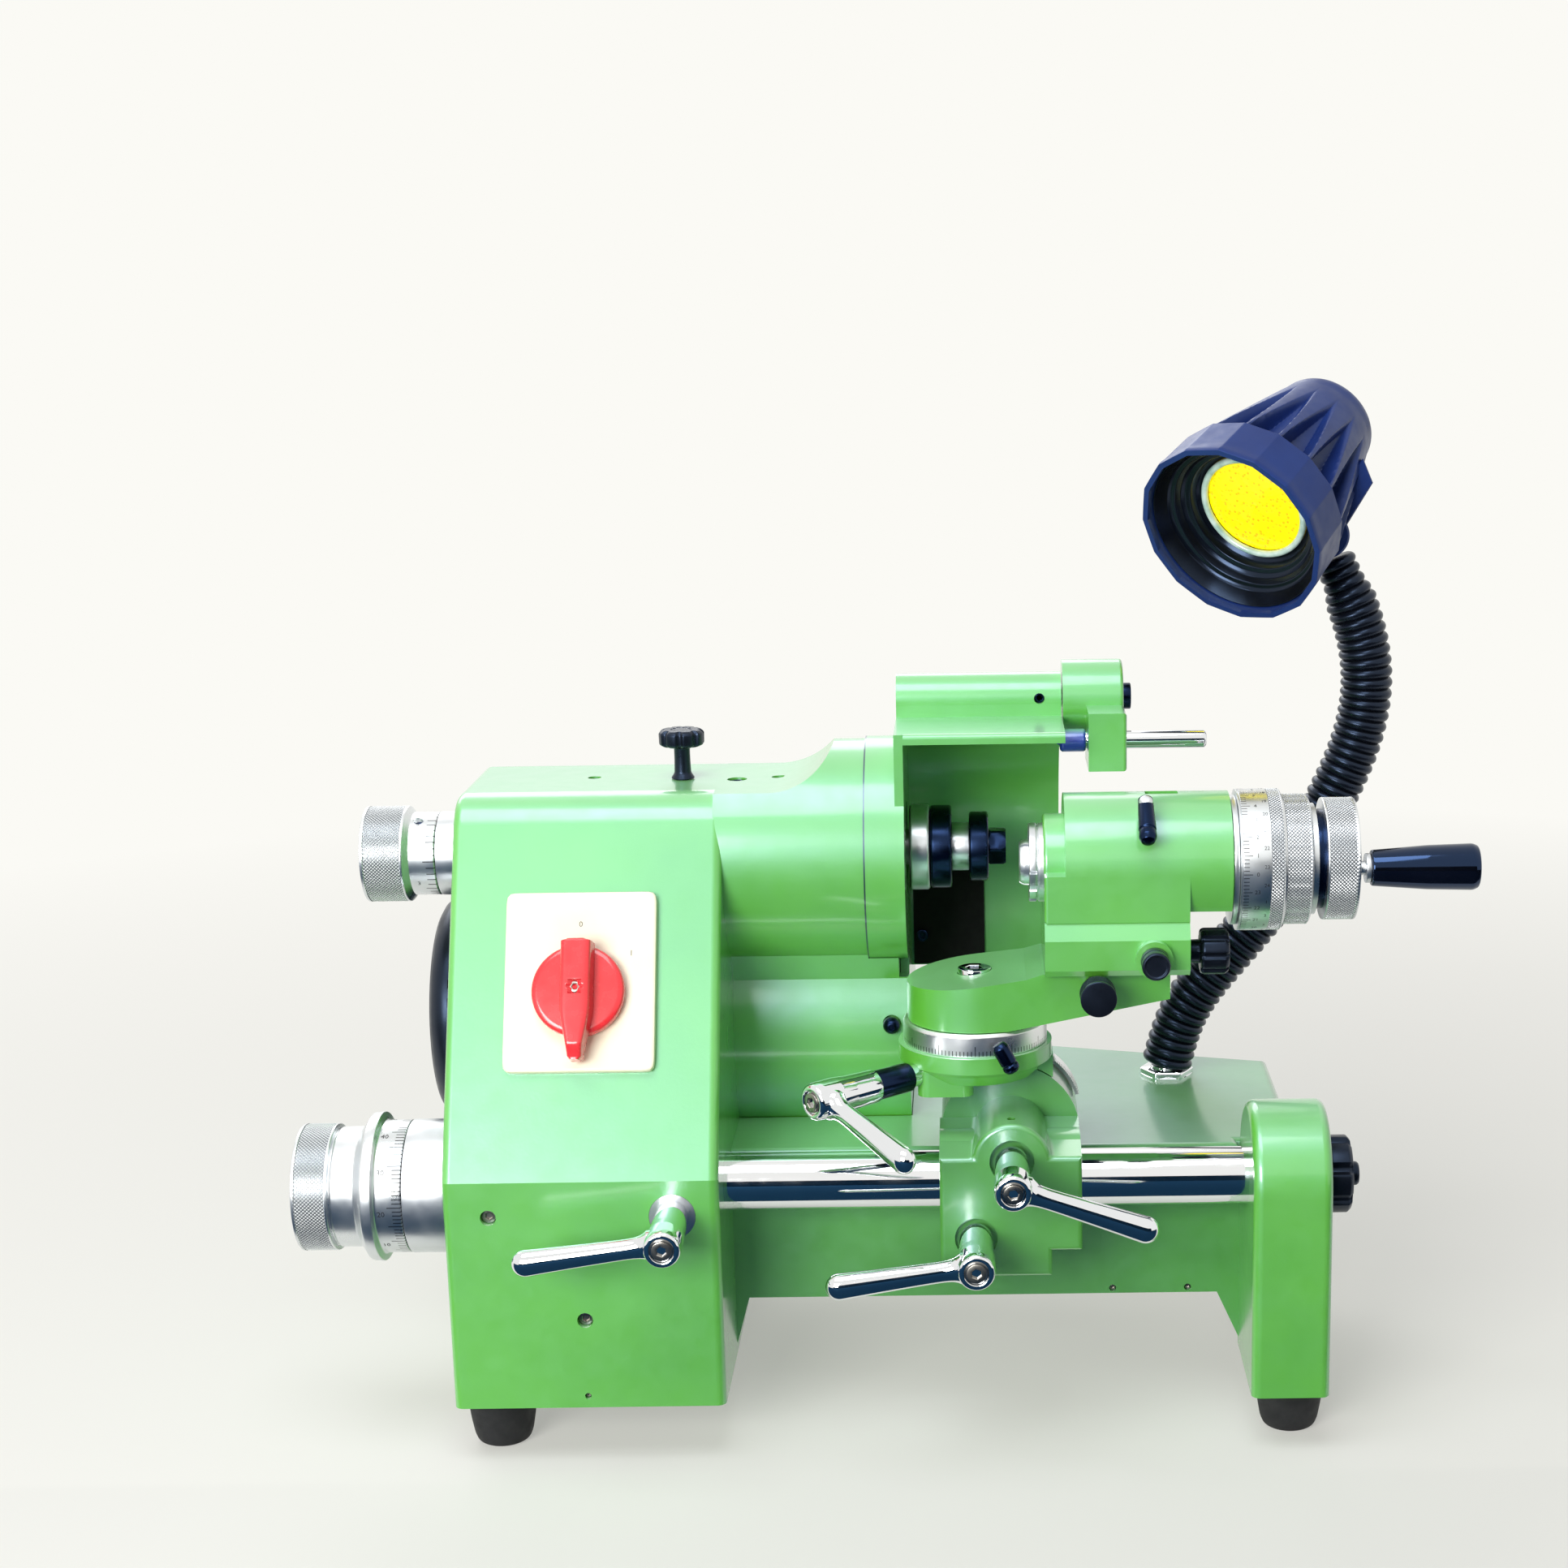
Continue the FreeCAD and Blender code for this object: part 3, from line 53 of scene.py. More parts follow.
# %% Camera
IMAGE_SIDE = 1932
LENS_PIXELS = 3200
SENSOR = 36
LOOKS_DOWN, TIPS = 13.6, 0.75


def shown(item):
    """Put an object into the scene."""
    bpy.context.scene.collection.objects.link(item)
    return item


def spin(degrees, axis, size=3):
    return Matrix.Rotation(math.radians(degrees), size, axis)


camera = shown(bpy.data.objects.new("camera", bpy.data.cameras.new("camera")))
camera.data.sensor_width = SENSOR
camera.data.lens = LENS_PIXELS / IMAGE_SIDE * SENSOR
camera.data.shift_x, camera.data.shift_y = -0.1232, 0.0818
stand = Matrix.Translation((0.0396, -1.139, 0.4975))
camera.matrix_world = stand @ spin(90 - LOOKS_DOWN, "X", 4) @ spin(-TIPS, "Z", 4)
bpy.context.scene.camera = camera
bpy.context.scene.view_settings.view_transform = "Standard"
print("lens", round(camera.data.lens, 2), "mm")


# %% [markdown]
# ## Shader sums as Python sums
# A pattern such as an engraved scale is arithmetic on coordinates. One small class wraps a socket,
# so that `a * 3 + b` lays down the Math nodes for it. Everything else goes through one method
# that takes a node's type, its settings and the values or links of its inputs.

# %% Shader helper
def linear(hex_colour):
    """The linear colour of a #RRGGBB string, by the sRGB curve."""
    parts = [int(hex_colour[i:i + 2], 16) / 255 for i in (0, 2, 4)]
    return [c / 12.92 if c <= 0.04045 else ((c + 0.055) / 1.055) ** 2.4 for c in parts] + [1]


class Sock:
    """A node's output that takes part in sums."""

    def __init__(self, graph, socket):
        self.graph = graph
        self.socket = socket

    def __add__(self, other):
        return self.graph.math("ADD", self, other)

    def __sub__(self, other):
        return self.graph.math("SUBTRACT", self, other)

    def __rsub__(self, other):
        return self.graph.math("SUBTRACT", other, self)

    def __mul__(self, other):
        return self.graph.math("MULTIPLY", self, other)

    def __lt__(self, other):
        return self.graph.math("LESS_THAN", self, other)

    def __gt__(self, other):
        return self.graph.math("GREATER_THAN", self, other)

    __radd__ = __add__
    __rmul__ = __mul__


class Graph:
    """A node tree that is written as expressions."""

    def __init__(self, tree):
        self.tree = tree

    def node(self, kind, settings=None, inputs=None, output=0):
        node = self.tree.nodes.new(kind)
        for key, value in (settings or {}).items():
            setattr(node, key, value)
        for key, value in (inputs or {}).items():
            if isinstance(value, Sock):
                self.tree.links.new(value.socket, node.inputs[key])
            else:
                node.inputs[key].default_value = value
        return Sock(self, node.outputs[output])

    def math(self, operation, *values):
        return self.node("ShaderNodeMath", {"operation": operation}, dict(enumerate(values)))

    def other(self, sock, name):
        """Another output of the node that a socket belongs to."""
        return Sock(self, sock.socket.node.outputs[name])


class Finish(Graph):
    """A material whose shader takes plain values for what is the same everywhere."""

    def __init__(self, name, colour, roughness=0.5, **constants):
        self.material = bpy.data.materials.new(name)
        self.material.use_nodes = True
        super().__init__(self.material.node_tree)
        self.shader = self.tree.nodes["Principled BSDF"]
        self.colour = linear(colour)
        constants.update({"Base Color": self.colour, "Roughness": roughness})
        for socket, value in constants.items():
            self.shader.inputs[socket.replace("_", " ")].default_value = value

    def feed(self, socket, value):
        self.tree.links.new(value.socket, self.shader.inputs[socket])
        return self

    def millimetres(self):
        """Where a point is on the object, as a vector in millimetres."""
        where = self.node("ShaderNodeTexCoord", output="Object")
        return self.node("ShaderNodeVectorMath", {"operation": "SCALE"}, {0: where, "Scale": 1000.0})

    def noise(self, size, detail=2, stretch=(1, 1, 1)):
        """Soft noise from 0 to 1 whose blotches are about size millimetres across."""
        where = self.node("ShaderNodeMapping", None, {"Vector": self.millimetres(), "Scale": stretch})
        inputs = {"Vector": where, "Scale": 1 / size, "Detail": detail}
        return self.node("ShaderNodeTexNoise", None, inputs)

    def blend(self, share, first, second):
        """A colour between two colours, by a share from 0 to 1."""
        colours = {0: share, 6: first, 7: second}
        return self.node("ShaderNodeMix", {"data_type": "RGBA"}, colours, output=2)

    def between(self, value, low, high, out_low=0.0, out_high=1.0):
        """A value carried over from one range to another, and held inside it."""
        ends = {"From Min": low, "From Max": high, "To Min": out_low, "To Max": out_high}
        return self.node("ShaderNodeMapRange", None, {"Value": value, **ends})

    def bump(self, height, depth, strength=1.0):
        """Small relief: height from 0 to 1 stands for depth in millimetres."""
        relief = {"Height": height, "Distance": depth / 1000, "Strength": strength}
        return self.feed("Normal", self.node("ShaderNodeBump", None, relief))

    def tone(self, other, value):
        """Vary the base colour towards another colour where value is high."""
        return self.feed("Base Color", self.blend(value, self.colour, linear(other)))


# %% [markdown]
# ## Paint, metal, plastic, rubber
# The castings wear a glossy apple-green enamel over a filled casting. Enamel is a pigment layer
# under a clear skin, so it is a mid-rough base with a smooth coat; slow noise shifts the green a
# little from place to place, and a fine bump is the orange peel that spray paint leaves.

# %% Enamel
SKY_TINT = (0.5, 0.66, 1.0, 1.0)
TOP_SHEEN, GAP = linear("9FE3A0"), linear("0E2A07")


def enamel(name, colour, deeper, joint=None):
    """Green or blue enamel, paler on faces that look up, as a painted sheen of the light from above.
    Left of the place joint along X it is dark, as in a gap."""
    paint = Finish(name, colour, 0.4, IOR=1.85, Specular_IOR_Level=1.0, Specular_Tint=SKY_TINT,
                   Coat_Weight=1.0, Coat_Roughness=0.14)
    cloud = paint.between(paint.noise(60, 3) + paint.noise(0.5, 1) * 0.12, 0.38, 0.78)
    coat = paint.blend(cloud, paint.colour, linear(deeper))
    # Painted highlight: faces that look up are blended towards a pale mint, the sheen of light from above.
    facing = paint.node("ShaderNodeTexCoord", output="Normal")
    upward = paint.node("ShaderNodeSeparateXYZ", None, {0: facing}, output=2)
    coat = paint.blend(paint.between(upward, 0.6, 0.98, 0, 0.6), coat, TOP_SHEEN)
    if joint is not None:
        left = paint.node("ShaderNodeSeparateXYZ", None, {0: paint.millimetres()}) < joint
        coat = paint.blend(left, coat, GAP)
    paint.feed("Base Color", coat)
    paint.feed("Roughness", paint.between(paint.noise(9, 3), 0.3, 0.7, 0.38, 0.46))
    return paint.bump(paint.noise(1.5, 2), 0.05, 0.5)


green = enamel("green_enamel", "64BC2E", "58AF24")
# A darker copy of the same green enamel: painted shade for the bed and the carriage, which lie in shadow.
shaded_green = enamel("shaded_green_enamel", "52A022", "48921A")
guard_green = enamel("guard_green_enamel", "64BC2E", "58AF24", joint=-9.3)
blue = enamel("blue_enamel", "0F1FB4", "0B1790")
print("enamels ready")

# %% [markdown]
# Bright metal has no colour pattern of its own. What tells chrome from turned steel is how far
# the roughness wanders, and the fine rings that a lathe leaves. The rings are noise squeezed
# along the axis of the turned piece.

# %% Metals
def metal(name, colour, low, high, rings=None, depth=0.01):
    """Metal whose roughness wanders from low to high; rings is the axis that it was turned about."""
    finish = Finish(name, colour, low, Metallic=1.0)
    finish.feed("Roughness", finish.between(finish.noise(14, 4), 0.35, 0.7, low, high))
    if rings:
        stretch = [6.0 if axis == rings else 0.02 for axis in "XYZ"]
        finish.bump(finish.noise(1.6, 3, stretch), depth, 0.6)
    return finish


chrome = metal("chrome", "EDEFF3", 0.03, 0.09)
bar_chrome = metal("ground_chrome", "F1F2F5", 0.04, 0.10, "X", 0.002)
turned_steel = {axis: metal("turned_steel_" + axis, "DDE0E4", 0.28, 0.4, axis) for axis in "XYZ"}
screw_steel = metal("screw_steel", "9A968F", 0.22, 0.4, "Y")
black_steel = {axis: metal("blackened_steel_" + axis, "1D2A45", 0.2, 0.34, axis) for axis in "XYZ"}
brass = metal("brass", "C9A15C", 0.2, 0.35, "X")
print("metals ready")


# %% [markdown]
# Plastics and rubber: the switch plate is ivory moulding, its knob a clear red, the lamp a
# blue moulded shell, the crank grip a polished black. Rubber is dull and a little grey where it
# has been handled. Dark plastics reflect a cool tint, which is the specular tint of their shader.

# %% Plastics and rubber
COOL = {"Specular_Tint": (0.42, 0.6, 1.0, 1.0)}


def moulded(name, colour, other, rough, grain=0.8, depth=0.02, **constants):
    """Moulded plastic: a faint cloud in the colour, and a fine grain from the mould."""
    finish = Finish(name, colour, rough, **constants)
    finish.tone(other, finish.between(finish.noise(25, 3), 0.35, 0.7))
    finish.feed("Roughness", finish.between(finish.noise(6, 3), 0.3, 0.7, rough * 0.85, rough * 1.15))
    return finish.bump(finish.noise(grain, 2), depth, 0.6)


ivory = moulded("ivory_plastic", "EFE8D2", "ECE3C8", 0.35, Coat_Weight=0.3)
red = moulded("red_plastic", "E4323A", "DC262D", 0.26, 1.2, 0.01, Coat_Weight=0.6)
lamp_shell = moulded("lamp_plastic", "1D3270", "182A64", 0.38, 0.5, **COOL)
lamp_bowl = moulded("lamp_bowl_plastic", "07080C", "0D0F15", 0.22, 0.6, 0.01, **COOL)
hose_plastic = moulded("hose_plastic", "0B0D13", "12151D", 0.3, 0.7, **COOL)
grip_black = moulded("polished_black", "06070B", "090B11", 0.1, 2.0, 0.004, Specular_IOR_Level=1.0,
                     Specular_Tint=(0.25, 0.45, 1.0, 1.0))
knob_black = moulded("knob_black", "0B0D12", "13161D", 0.32, 0.6, **COOL)
rubber = moulded("rubber", "101114", "1B1C20", 0.72, 0.4, 0.04)
flap_rubber = moulded("flap_rubber", "050607", "0B0C0E", 0.6, 0.9, 0.05, Specular_IOR_Level=0.2)
cowl_black = moulded("cowl_black", "0B0D11", "121419", 0.34, 1.0, 0.03, **COOL)
ink = moulded("engraving_ink", "1B1C20", "26272B", 0.5)
glass = Finish("lamp_glass", "DDEFEA", 0.05, Specular_IOR_Level=1.0, Coat_Weight=1.0)
glass.tone("9FC4BC", glass.between(glass.noise(6, 2), 0.35, 0.7))
print("plastics ready")


# %% [markdown]
# ## Engraved scales
# A graduated ring is turned steel with a row of short grooves filled with black. Around an axis
# the angle of a point is atan2, so `angle * count` counts grooves, and its distance from the
# nearest whole number says whether the point is on one. Long grooves repeat every fifth or tenth.

# %% Scale finish
GROOVE, FURROW_SHADE = linear("17181C"), linear("3E444F")


def scale(name, axis, centre, count, band, every=5, long_band=None, width=0.28, radius=28,
          colour="E1E4E7", grips=()):
    """Turned steel with count grooves round the axis, between two places along it. Each grip is a
    band of knurling as (start, end, count, pitch), whose furrows are painted darker as painted shade."""
    finish = metal(name, colour, 0.26, 0.38, axis)
    parts = finish.node("ShaderNodeSeparateXYZ", None, {0: finish.millimetres()})
    place = {key: finish.other(parts, key) for key in "XYZ"}
    first, second = "XYZ".replace(axis, "")
    turn = finish.math("ARCTAN2", place[second] - centre[1], place[first] - centre[0])

    def inside(start, end):
        return (place[axis] > start) * (place[axis] < end)

    def groove(number, start, end):
        tick = turn * (number / (2 * math.pi))
        off = finish.math("ABSOLUTE", tick - finish.math("ROUND", tick))
        return (off < width * number / (4 * math.pi * radius)) * inside(start, end)

    def wave(value):
        return 1 - finish.math("ABSOLUTE", finish.math("FRACT", value) - 0.5) * 2

    def furrows(grip):
        start, end, knurls, pitch = grip
        u, v = turn * (knurls / (2 * math.pi)), (place[axis] - start) * (1 / pitch)
        lower = finish.math("MINIMUM", wave(u + v), wave(u - v))
        return (lower < 0.24) * inside(start, end)

    marks = groove(count, *band)
    if long_band:
        marks = finish.math("MAXIMUM", marks, groove(count / every, *long_band))
    steel, shine = finish.colour, 1 - marks
    if grips:
        # Painted shade: the furrows of the knurling are painted a dark steel colour.
        steel = finish.blend(sum(map(furrows, grips)), steel, FURROW_SHADE)
        shine = shine - sum(inside(*grip[:2]) for grip in grips) * 0.45
    finish.feed("Base Color", finish.blend(marks, steel, GROOVE))
    return finish.feed("Metallic", shine)


print("scales ready")


# %% [markdown]
# ## Surfaces from formulas
# Every new piece is a grid of points: rows along a profile, columns round a ring. numpy works the
# whole grid out at once, and one helper joins grids into a mesh, closes the poles where a ring has
# shrunk to a point, and marks the edges that are really sharp.

# %% Grid helpers
PLACES = {"X": (0, 1, 2), "Y": (1, 2, 0), "Z": (2, 0, 1)}


def eased(corners, radius=0.6, steps=4):
    """Round the inner corners of a line: each is cut back by radius along both of its sides, and
    bridged by the parabola (1-t)^2 a + 2t(1-t) corner + t^2 b."""
    p = np.array(corners, float)
    t = np.linspace(0, 1, steps)[None, :, None]
    middle = p[1:-1]

    def back(other):
        gap = other - middle
        length = np.linalg.norm(gap, axis=1, keepdims=True)
        return middle + gap * np.minimum(radius / np.maximum(length, 1e-9), 0.45)

    a, b = back(p[:-2])[:, None], back(p[2:])[:, None]
    arcs = (1 - t) ** 2 * a + 2 * t * (1 - t) * middle[:, None] + t ** 2 * b
    return np.concatenate([p[:1], arcs.reshape(-1, 2), p[-1:]])


def around_axis(axis, centre, along, across, up):
    """Points from a place along an axis and two offsets across it, in the axis's own order."""
    grid = np.empty(np.broadcast(along, across, up).shape + (3,))
    first, second, third = PLACES[axis]
    grid[..., first] = along
    grid[..., second] = centre[0] + across
    grid[..., third] = centre[1] + up
    return grid


def turned(axis, centre, profile, around=96, ripple=None):
    """Revolve a profile of (place s, radius r): the point is s along the axis and
    (r cos t, r sin t) across it. A ripple(s, t) is added to the radius."""
    s, r = np.array(profile, float).T[:, :, None]
    t = np.arange(around) * 2 * np.pi / around + 0 * s
    reach = r + (ripple(s, t) if ripple else 0) * (r > 0)
    return around_axis(axis, centre, s, reach * np.cos(t), reach * np.sin(t))


def socket_head(axis, centre, face, radius, key, deep=2.0, tall=3.0, looks=-1, around=72):
    """A screw head with a hexagon socket that looks along the axis, forwards or backwards. A
    hexagon is a circle whose radius is divided by the cosine of the angle from a side's middle."""
    rows = [(deep, 0, 0), (deep, key, 1), (0.25, key, 1), (0, key + 0.3, 1), (0, radius - 0.5, 0),
            (0.15, radius - 0.15, 0), (0.5, radius, 0), (tall, radius, 0), (tall, 0, 0)]
    depth, reach, six = np.array(rows[::-looks], float).T[:, :, None]
    t = np.arange(around) * 2 * np.pi / around + 0 * depth
    side = np.mod(t, np.pi / 3) - np.pi / 6
    reach = reach / np.where(six > 0, np.cos(side) / math.cos(math.pi / 12), 1)
    return around_axis(axis, centre, face - looks * depth, reach * np.cos(t), reach * np.sin(t))


def moved(grid, turn=None, at=(0, 0, 0)):
    """Turn a grid by a rotation matrix about the origin, then carry it to a place."""
    spun = grid if turn is None else grid @ np.array(turn).T
    return spun + np.array(at, float)


def quads(rows, columns, closed=True):
    """The four corner numbers of each cell of a grid; closed joins the last column to the first."""
    i, j = np.meshgrid(np.arange(rows - 1), np.arange(columns if closed else columns - 1), indexing="ij")
    k = (j + 1) % columns
    return np.stack([i * columns + j, i * columns + k, (i + 1) * columns + k, (i + 1) * columns + j],
                    -1).reshape(-1, 4)


def capped(rings):
    """Rings of points with both ends closed at their middles."""
    ends = [np.broadcast_to(ring.mean(0), ring.shape)[None] for ring in (rings[0], rings[-1])]
    return np.concatenate([ends[0], rings, ends[1]])


def bar_grid(stations, sections):
    """Closed rings of points carried along X."""
    along = np.broadcast_to(np.asarray(stations)[:, None, None], sections.shape[:2] + (1,))
    return capped(np.concatenate([along, sections], -1))


def pillow(outline, rows):
    """A plate from a closed outline, anticlockwise from above: each row is (inset, height), and moves
    the outline inwards along its normals."""
    p = np.array(outline, float)
    ahead = np.roll(p, -1, 0) - np.roll(p, 1, 0)
    normal = np.stack([ahead[:, 1], -ahead[:, 0]], -1)
    normal /= np.linalg.norm(normal, axis=1, keepdims=True)
    inset, height = np.array(rows, float).T[:, :, None]
    flat = p[None] - normal[None] * inset[..., None]
    return capped(np.concatenate([flat, np.broadcast_to(height[..., None], flat.shape[:2] + (1,))], -1))


def rounded_box(wide, tall, power, around=160):
    """A rectangle with soft corners: the curve |x/a|^p + |y/b|^p = 1."""
    t = (np.arange(around) + 0.5) * 2 * np.pi / around
    c, s = np.cos(t), np.sin(t)
    length = (np.abs(c) ** power + np.abs(s) ** power) ** (-1 / power)
    return np.stack([wide / 2 * c * length, tall / 2 * s * length], -1)


# %% Pieces from grids
def mesh_object(name, finish, points, faces):
    """A new object in the scene, from points in metres and the corner numbers of its faces."""
    mesh = bpy.data.meshes.new(name)
    mesh.from_pydata(points, [], faces)
    mesh.materials.append(finish.material)
    return shown(bpy.data.objects.new(name, mesh))


def make(name, finish, body, slot, old, *grids, sharp=32):
    """One mesh of several grids in millimetres, riding on a body. It takes the place of the solid
    node old, if that isn't None."""
    points, faces, start = [], [], 0
    for grid in grids:
        rows, columns = grid.shape[:2]
        points.append(grid.reshape(-1, 3))
        faces.append(quads(rows, columns) + start)
        start += rows * columns
    piece = mesh_object(name, finish, np.concatenate(points) / 1000, np.concatenate(faces).tolist())
    tidy = bmesh.new()
    tidy.from_mesh(piece.data)
    bmesh.ops.remove_doubles(tidy, verts=tidy.verts, dist=2e-6)
    bmesh.ops.dissolve_degenerate(tidy, edges=tidy.edges, dist=1e-6)
    tidy.to_mesh(piece.data)
    tidy.free()
    piece.data.shade_smooth()
    piece.data.set_sharp_from_angle(angle=math.radians(sharp))
    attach(piece, body)
    if old:
        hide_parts(old)
    print(name, len(piece.data.polygons), "faces")


def spun(name, finish, body, slot, old, axis, centre, profile, around=96, ripple=None):
    """A piece that is one profile turned about an axis."""
    make(name, finish, body, slot, old, turned(axis, centre, profile, around, ripple))


# %% [markdown]
# ## Where things are
# The main axes of the machine in millimetres, as (Y, Z) of lines that run along X. The bands of
# knurling are (start, end, count, pitch) along their knob's axis.

# %% Axes and grips
BAR = (-61, 117)
SPINDLE = (21, 248)
WORK = (-46, 255)
CRANK = (WORK[0] - 20, WORK[1])
BOSS = (39, 313.5)
DIAMOND = (19, 296.7)
MOTOR = (66, 162)
BAR_GRIP = (-254.6, -241.4, 108, 1.65)
SPINDLE_GRIP = (-236.2, -219.4, 86, 1.6)
DIAL_GRIPS = [(163.5, 169.1, 120, 1.6), (170.4, 180.9, 112, 1.55)]
WHEEL_GRIP = (188.6, 200.6, 104, 1.55)
LOCK_GRIP = (-91.4, -83.2, 40, 1.2)


def zone(s, start, end, soft=0.4):
    """1 between start and end along the axis, easing to 0 within soft of the ends."""
    return np.clip((s - start) / soft, 0, 1) * np.clip((end - s) / soft, 0, 1)


def smooth(x):
    """The S-curve 3x^2 - 2x^3 from 0 to 1."""
    x = np.clip(x, 0, 1)
    return x * x * (3 - 2 * x)


def saw(x):
    """A triangle wave from 0 at whole numbers to 1 half way between them."""
    return 1 - 2 * np.abs(x - np.floor(x) - 0.5)


def knurl(start, end, count, pitch, depth):
    """Diamond knurling: two crossed sets of grooves, where the lower of two triangle waves that run
    along the two diagonals is the height."""
    def ripple(s, t):
        u, v = t * count / (2 * np.pi), (s - start) / pitch
        return (np.minimum(saw(u + v), saw(u - v)) - 1) * depth * zone(s, start, end, 0.15)
    return ripple


def flutes(start, end, count, depth, wide):
    """Finger grooves along a knob: a cosine that only dips, held between two places."""
    def ripple(s, t):
        return -depth * smooth((np.cos(t * count) - wide) / (1 - wide)) * zone(s, start, end, 1.0)
    return ripple


def hexagon(flat, full, start, end, soft=0.3):
    """Six flats cut off a round: how far flat / cos(angle from a flat's middle) is under full."""
    def ripple(s, t):
        side = np.mod(t, np.pi / 3) - np.pi / 6
        return np.minimum(flat / np.cos(side) - full, 0) * zone(s, start, end, soft)
    return ripple


def straight(start, stop, step, radius):
    """Close rows of one radius, for a ripple to show on."""
    return np.array([(s, radius) for s in np.arange(start, stop, step)])


def tube(start, end, inner, outer, soft):
    """The profile of a ring, or of a rod where inner is 0, with eased edges."""
    return eased([(start, inner), (start, outer), (end, outer), (end, inner)], soft)


def knurled(corners, grip):
    """A profile with extra rows along a grip, four to each knurl."""
    start, end, _, pitch = grip
    line = eased(corners, 0.7)
    rows = np.arange(start, end + 1e-6, pitch / 4)
    ends = [np.interp(at, line[:, 0], line[:, 1]) for at in (start + 0.01, end - 0.01)]
    radius = np.interp(rows, [start, end], ends)
    before = line[: np.searchsorted(line[:, 0], start)]
    after = line[np.searchsorted(line[:, 0], end, "right"):]
    return np.concatenate([before, np.stack([rows, radius], 1), after])


print("axes ready")


# %% [markdown]
# ## The hand dials
# Each feed screw ends in a knurled grip, a plain neck and a graduated collar that turns against a
# fixed sleeve. The grip could be a plain cylinder with a bump map, but its edge would stay smooth
# in outline, so the knurling is real: the radius dips along two crossed sets of grooves.

# %% Guide bar dial
bar_scale = scale("bar_dial_scale", "X", BAR, 100, (-212.2, -208.2), 5, (-214.4, -208.2), 0.42, 29,
                  grips=[BAR_GRIP])
bar_head = knurled([(-255.9, 0), (-255.9, 27.7), (-240.4, 27.7), (-240.4, 25.2), (-239.2, 25.2),
                    (-239.2, 26.2), (-229, 26.2), (-225.2, 32.2), (-220.4, 32.6), (-220, 29.4),
                    (-219.4, 28.9), (-208.3, 28.9), (-208.3, 6), (-150, 6), (-150, 0)], BAR_GRIP)
spun("bar_dial", bar_scale, "bar_feed", "satin_steel", "bar_feed_knob", "X", BAR, bar_head, 432,
     knurl(*BAR_GRIP, 0.5))

# %% Spindle dial
GRUB_X, GRUB_TURN, GRUB_DEPTH = -212.4, math.radians(117), 2.6
COLLAR = 18.9
spindle_scale = scale("spindle_dial_scale", "X", SPINDLE, 40, (-208.3, -204.2), 5, (-209.6, -204.2),
                      0.45, 19, grips=[SPINDLE_GRIP])
spindle_head = np.concatenate([
    knurled([(-237.6, 0), (-237.6, 21.8), (-218.2, 21.8), (-217.6, 19.6)], SPINDLE_GRIP)[:-1],
    [(-217.6, 20.8), (-216.8, 19.6), (-216, COLLAR)], straight(-215.6, -204.7, 0.35, COLLAR),
    [(-204.3, 18.6), (-204.3, 5), (-171, 5), (-171, 0)]])
spindle_knurl = knurl(*SPINDLE_GRIP, 0.5)


def spindle_ripple(s, t):
    """The knurling, and a round hole for the set screw: a dip round one point."""
    away = np.hypot(s - GRUB_X, (t - GRUB_TURN) * COLLAR)
    return spindle_knurl(s, t) - GRUB_DEPTH * smooth((2.3 - away) / 0.5)


spun("spindle_dial", spindle_scale, "spindle_feed", "satin_steel", "spindle_feed_knob", "X", SPINDLE,
     spindle_head, 344, spindle_ripple)
grub = moved(socket_head("Z", (0, 0), -16.9, 2.1, 1.0, 1.2, 1.5),
             spin(90 + math.degrees(GRUB_TURN), "X"), (GRUB_X, *SPINDLE))
make("spindle_grub", black_steel["X"], "spindle_feed", "satin_steel", None, grub)

# %% Fixed sleeves
sleeves = [turned("X", BAR, tube(-208, -190, 6.2, 29.1, 0.5), 144),
           turned("X", SPINDLE, tube(-204, -190, 5.2, 19, 0.5), 112)]
make("dial_sleeve_pair", turned_steel["X"], "machine_frame", "satin_steel", "dial_sleeves",
     *sleeves)


# %% [markdown]
# Numbers are stamped beside the long grooves. A text object gives each number's outline; its
# points are then laid on the collar, with x along the axis and y wrapped round as an angle.

# %% Numbers round a dial
def flat_text(label, height):
    """The points and faces of a word that lies flat, centred, as a mesh."""
    text = bpy.data.curves.new("label", "FONT")
    text.body = label
    text.size = height * 1.35
    text.align_x = text.align_y = "CENTER"
    text.resolution_u = 2
    carrier = shown(bpy.data.objects.new("label", text))
    bpy.context.view_layer.update()
    flat = bpy.data.meshes.new_from_object(carrier)
    co = np.empty(len(flat.vertices) * 3)
    flat.vertices.foreach_get("co", co)
    faces = [list(p.vertices) for p in flat.polygons]
    bpy.data.objects.remove(carrier)
    bpy.data.curves.remove(text)
    bpy.data.meshes.remove(flat)
    return co.reshape(-1, 3), faces


def lettering(name, body, words):
    """One mesh of several words, each as (points, faces) in millimetres."""
    points, faces, start = [], [], 0
    for co, flat_faces in words:
        points.append(co)
        faces += [[v + start for v in face] for face in flat_faces]
        start += len(co)
    piece = mesh_object(name, ink, np.concatenate(points) / 1000, faces)
    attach(piece, body)
    print(name, len(words), "words")


def numbers(name, body, labels, centre, at, radius, height, first):
    """Numbers on a collar about an X axis: a point (x, y) of the flat text goes to the angle
    first - y / radius and to the place at + x."""
    words = []
    for index, label in enumerate(labels):
        co, faces = flat_text(str(label), height)
        angle = first - index * 2 * math.pi / len(labels) - co[:, 1] / radius
        ring = around_axis("X", centre, at + co[:, 0], radius * np.cos(angle), radius * np.sin(angle))
        words.append((ring, faces))
    lettering(name, body, words)


numbers("bar_dial_numbers", "bar_feed", range(0, 100, 10), BAR, -217, 28.97, 2.5, math.radians(258))
numbers("spindle_dial_numbers", "spindle_feed", range(8), SPINDLE, -212.2, 18.95, 2.2, math.radians(349))
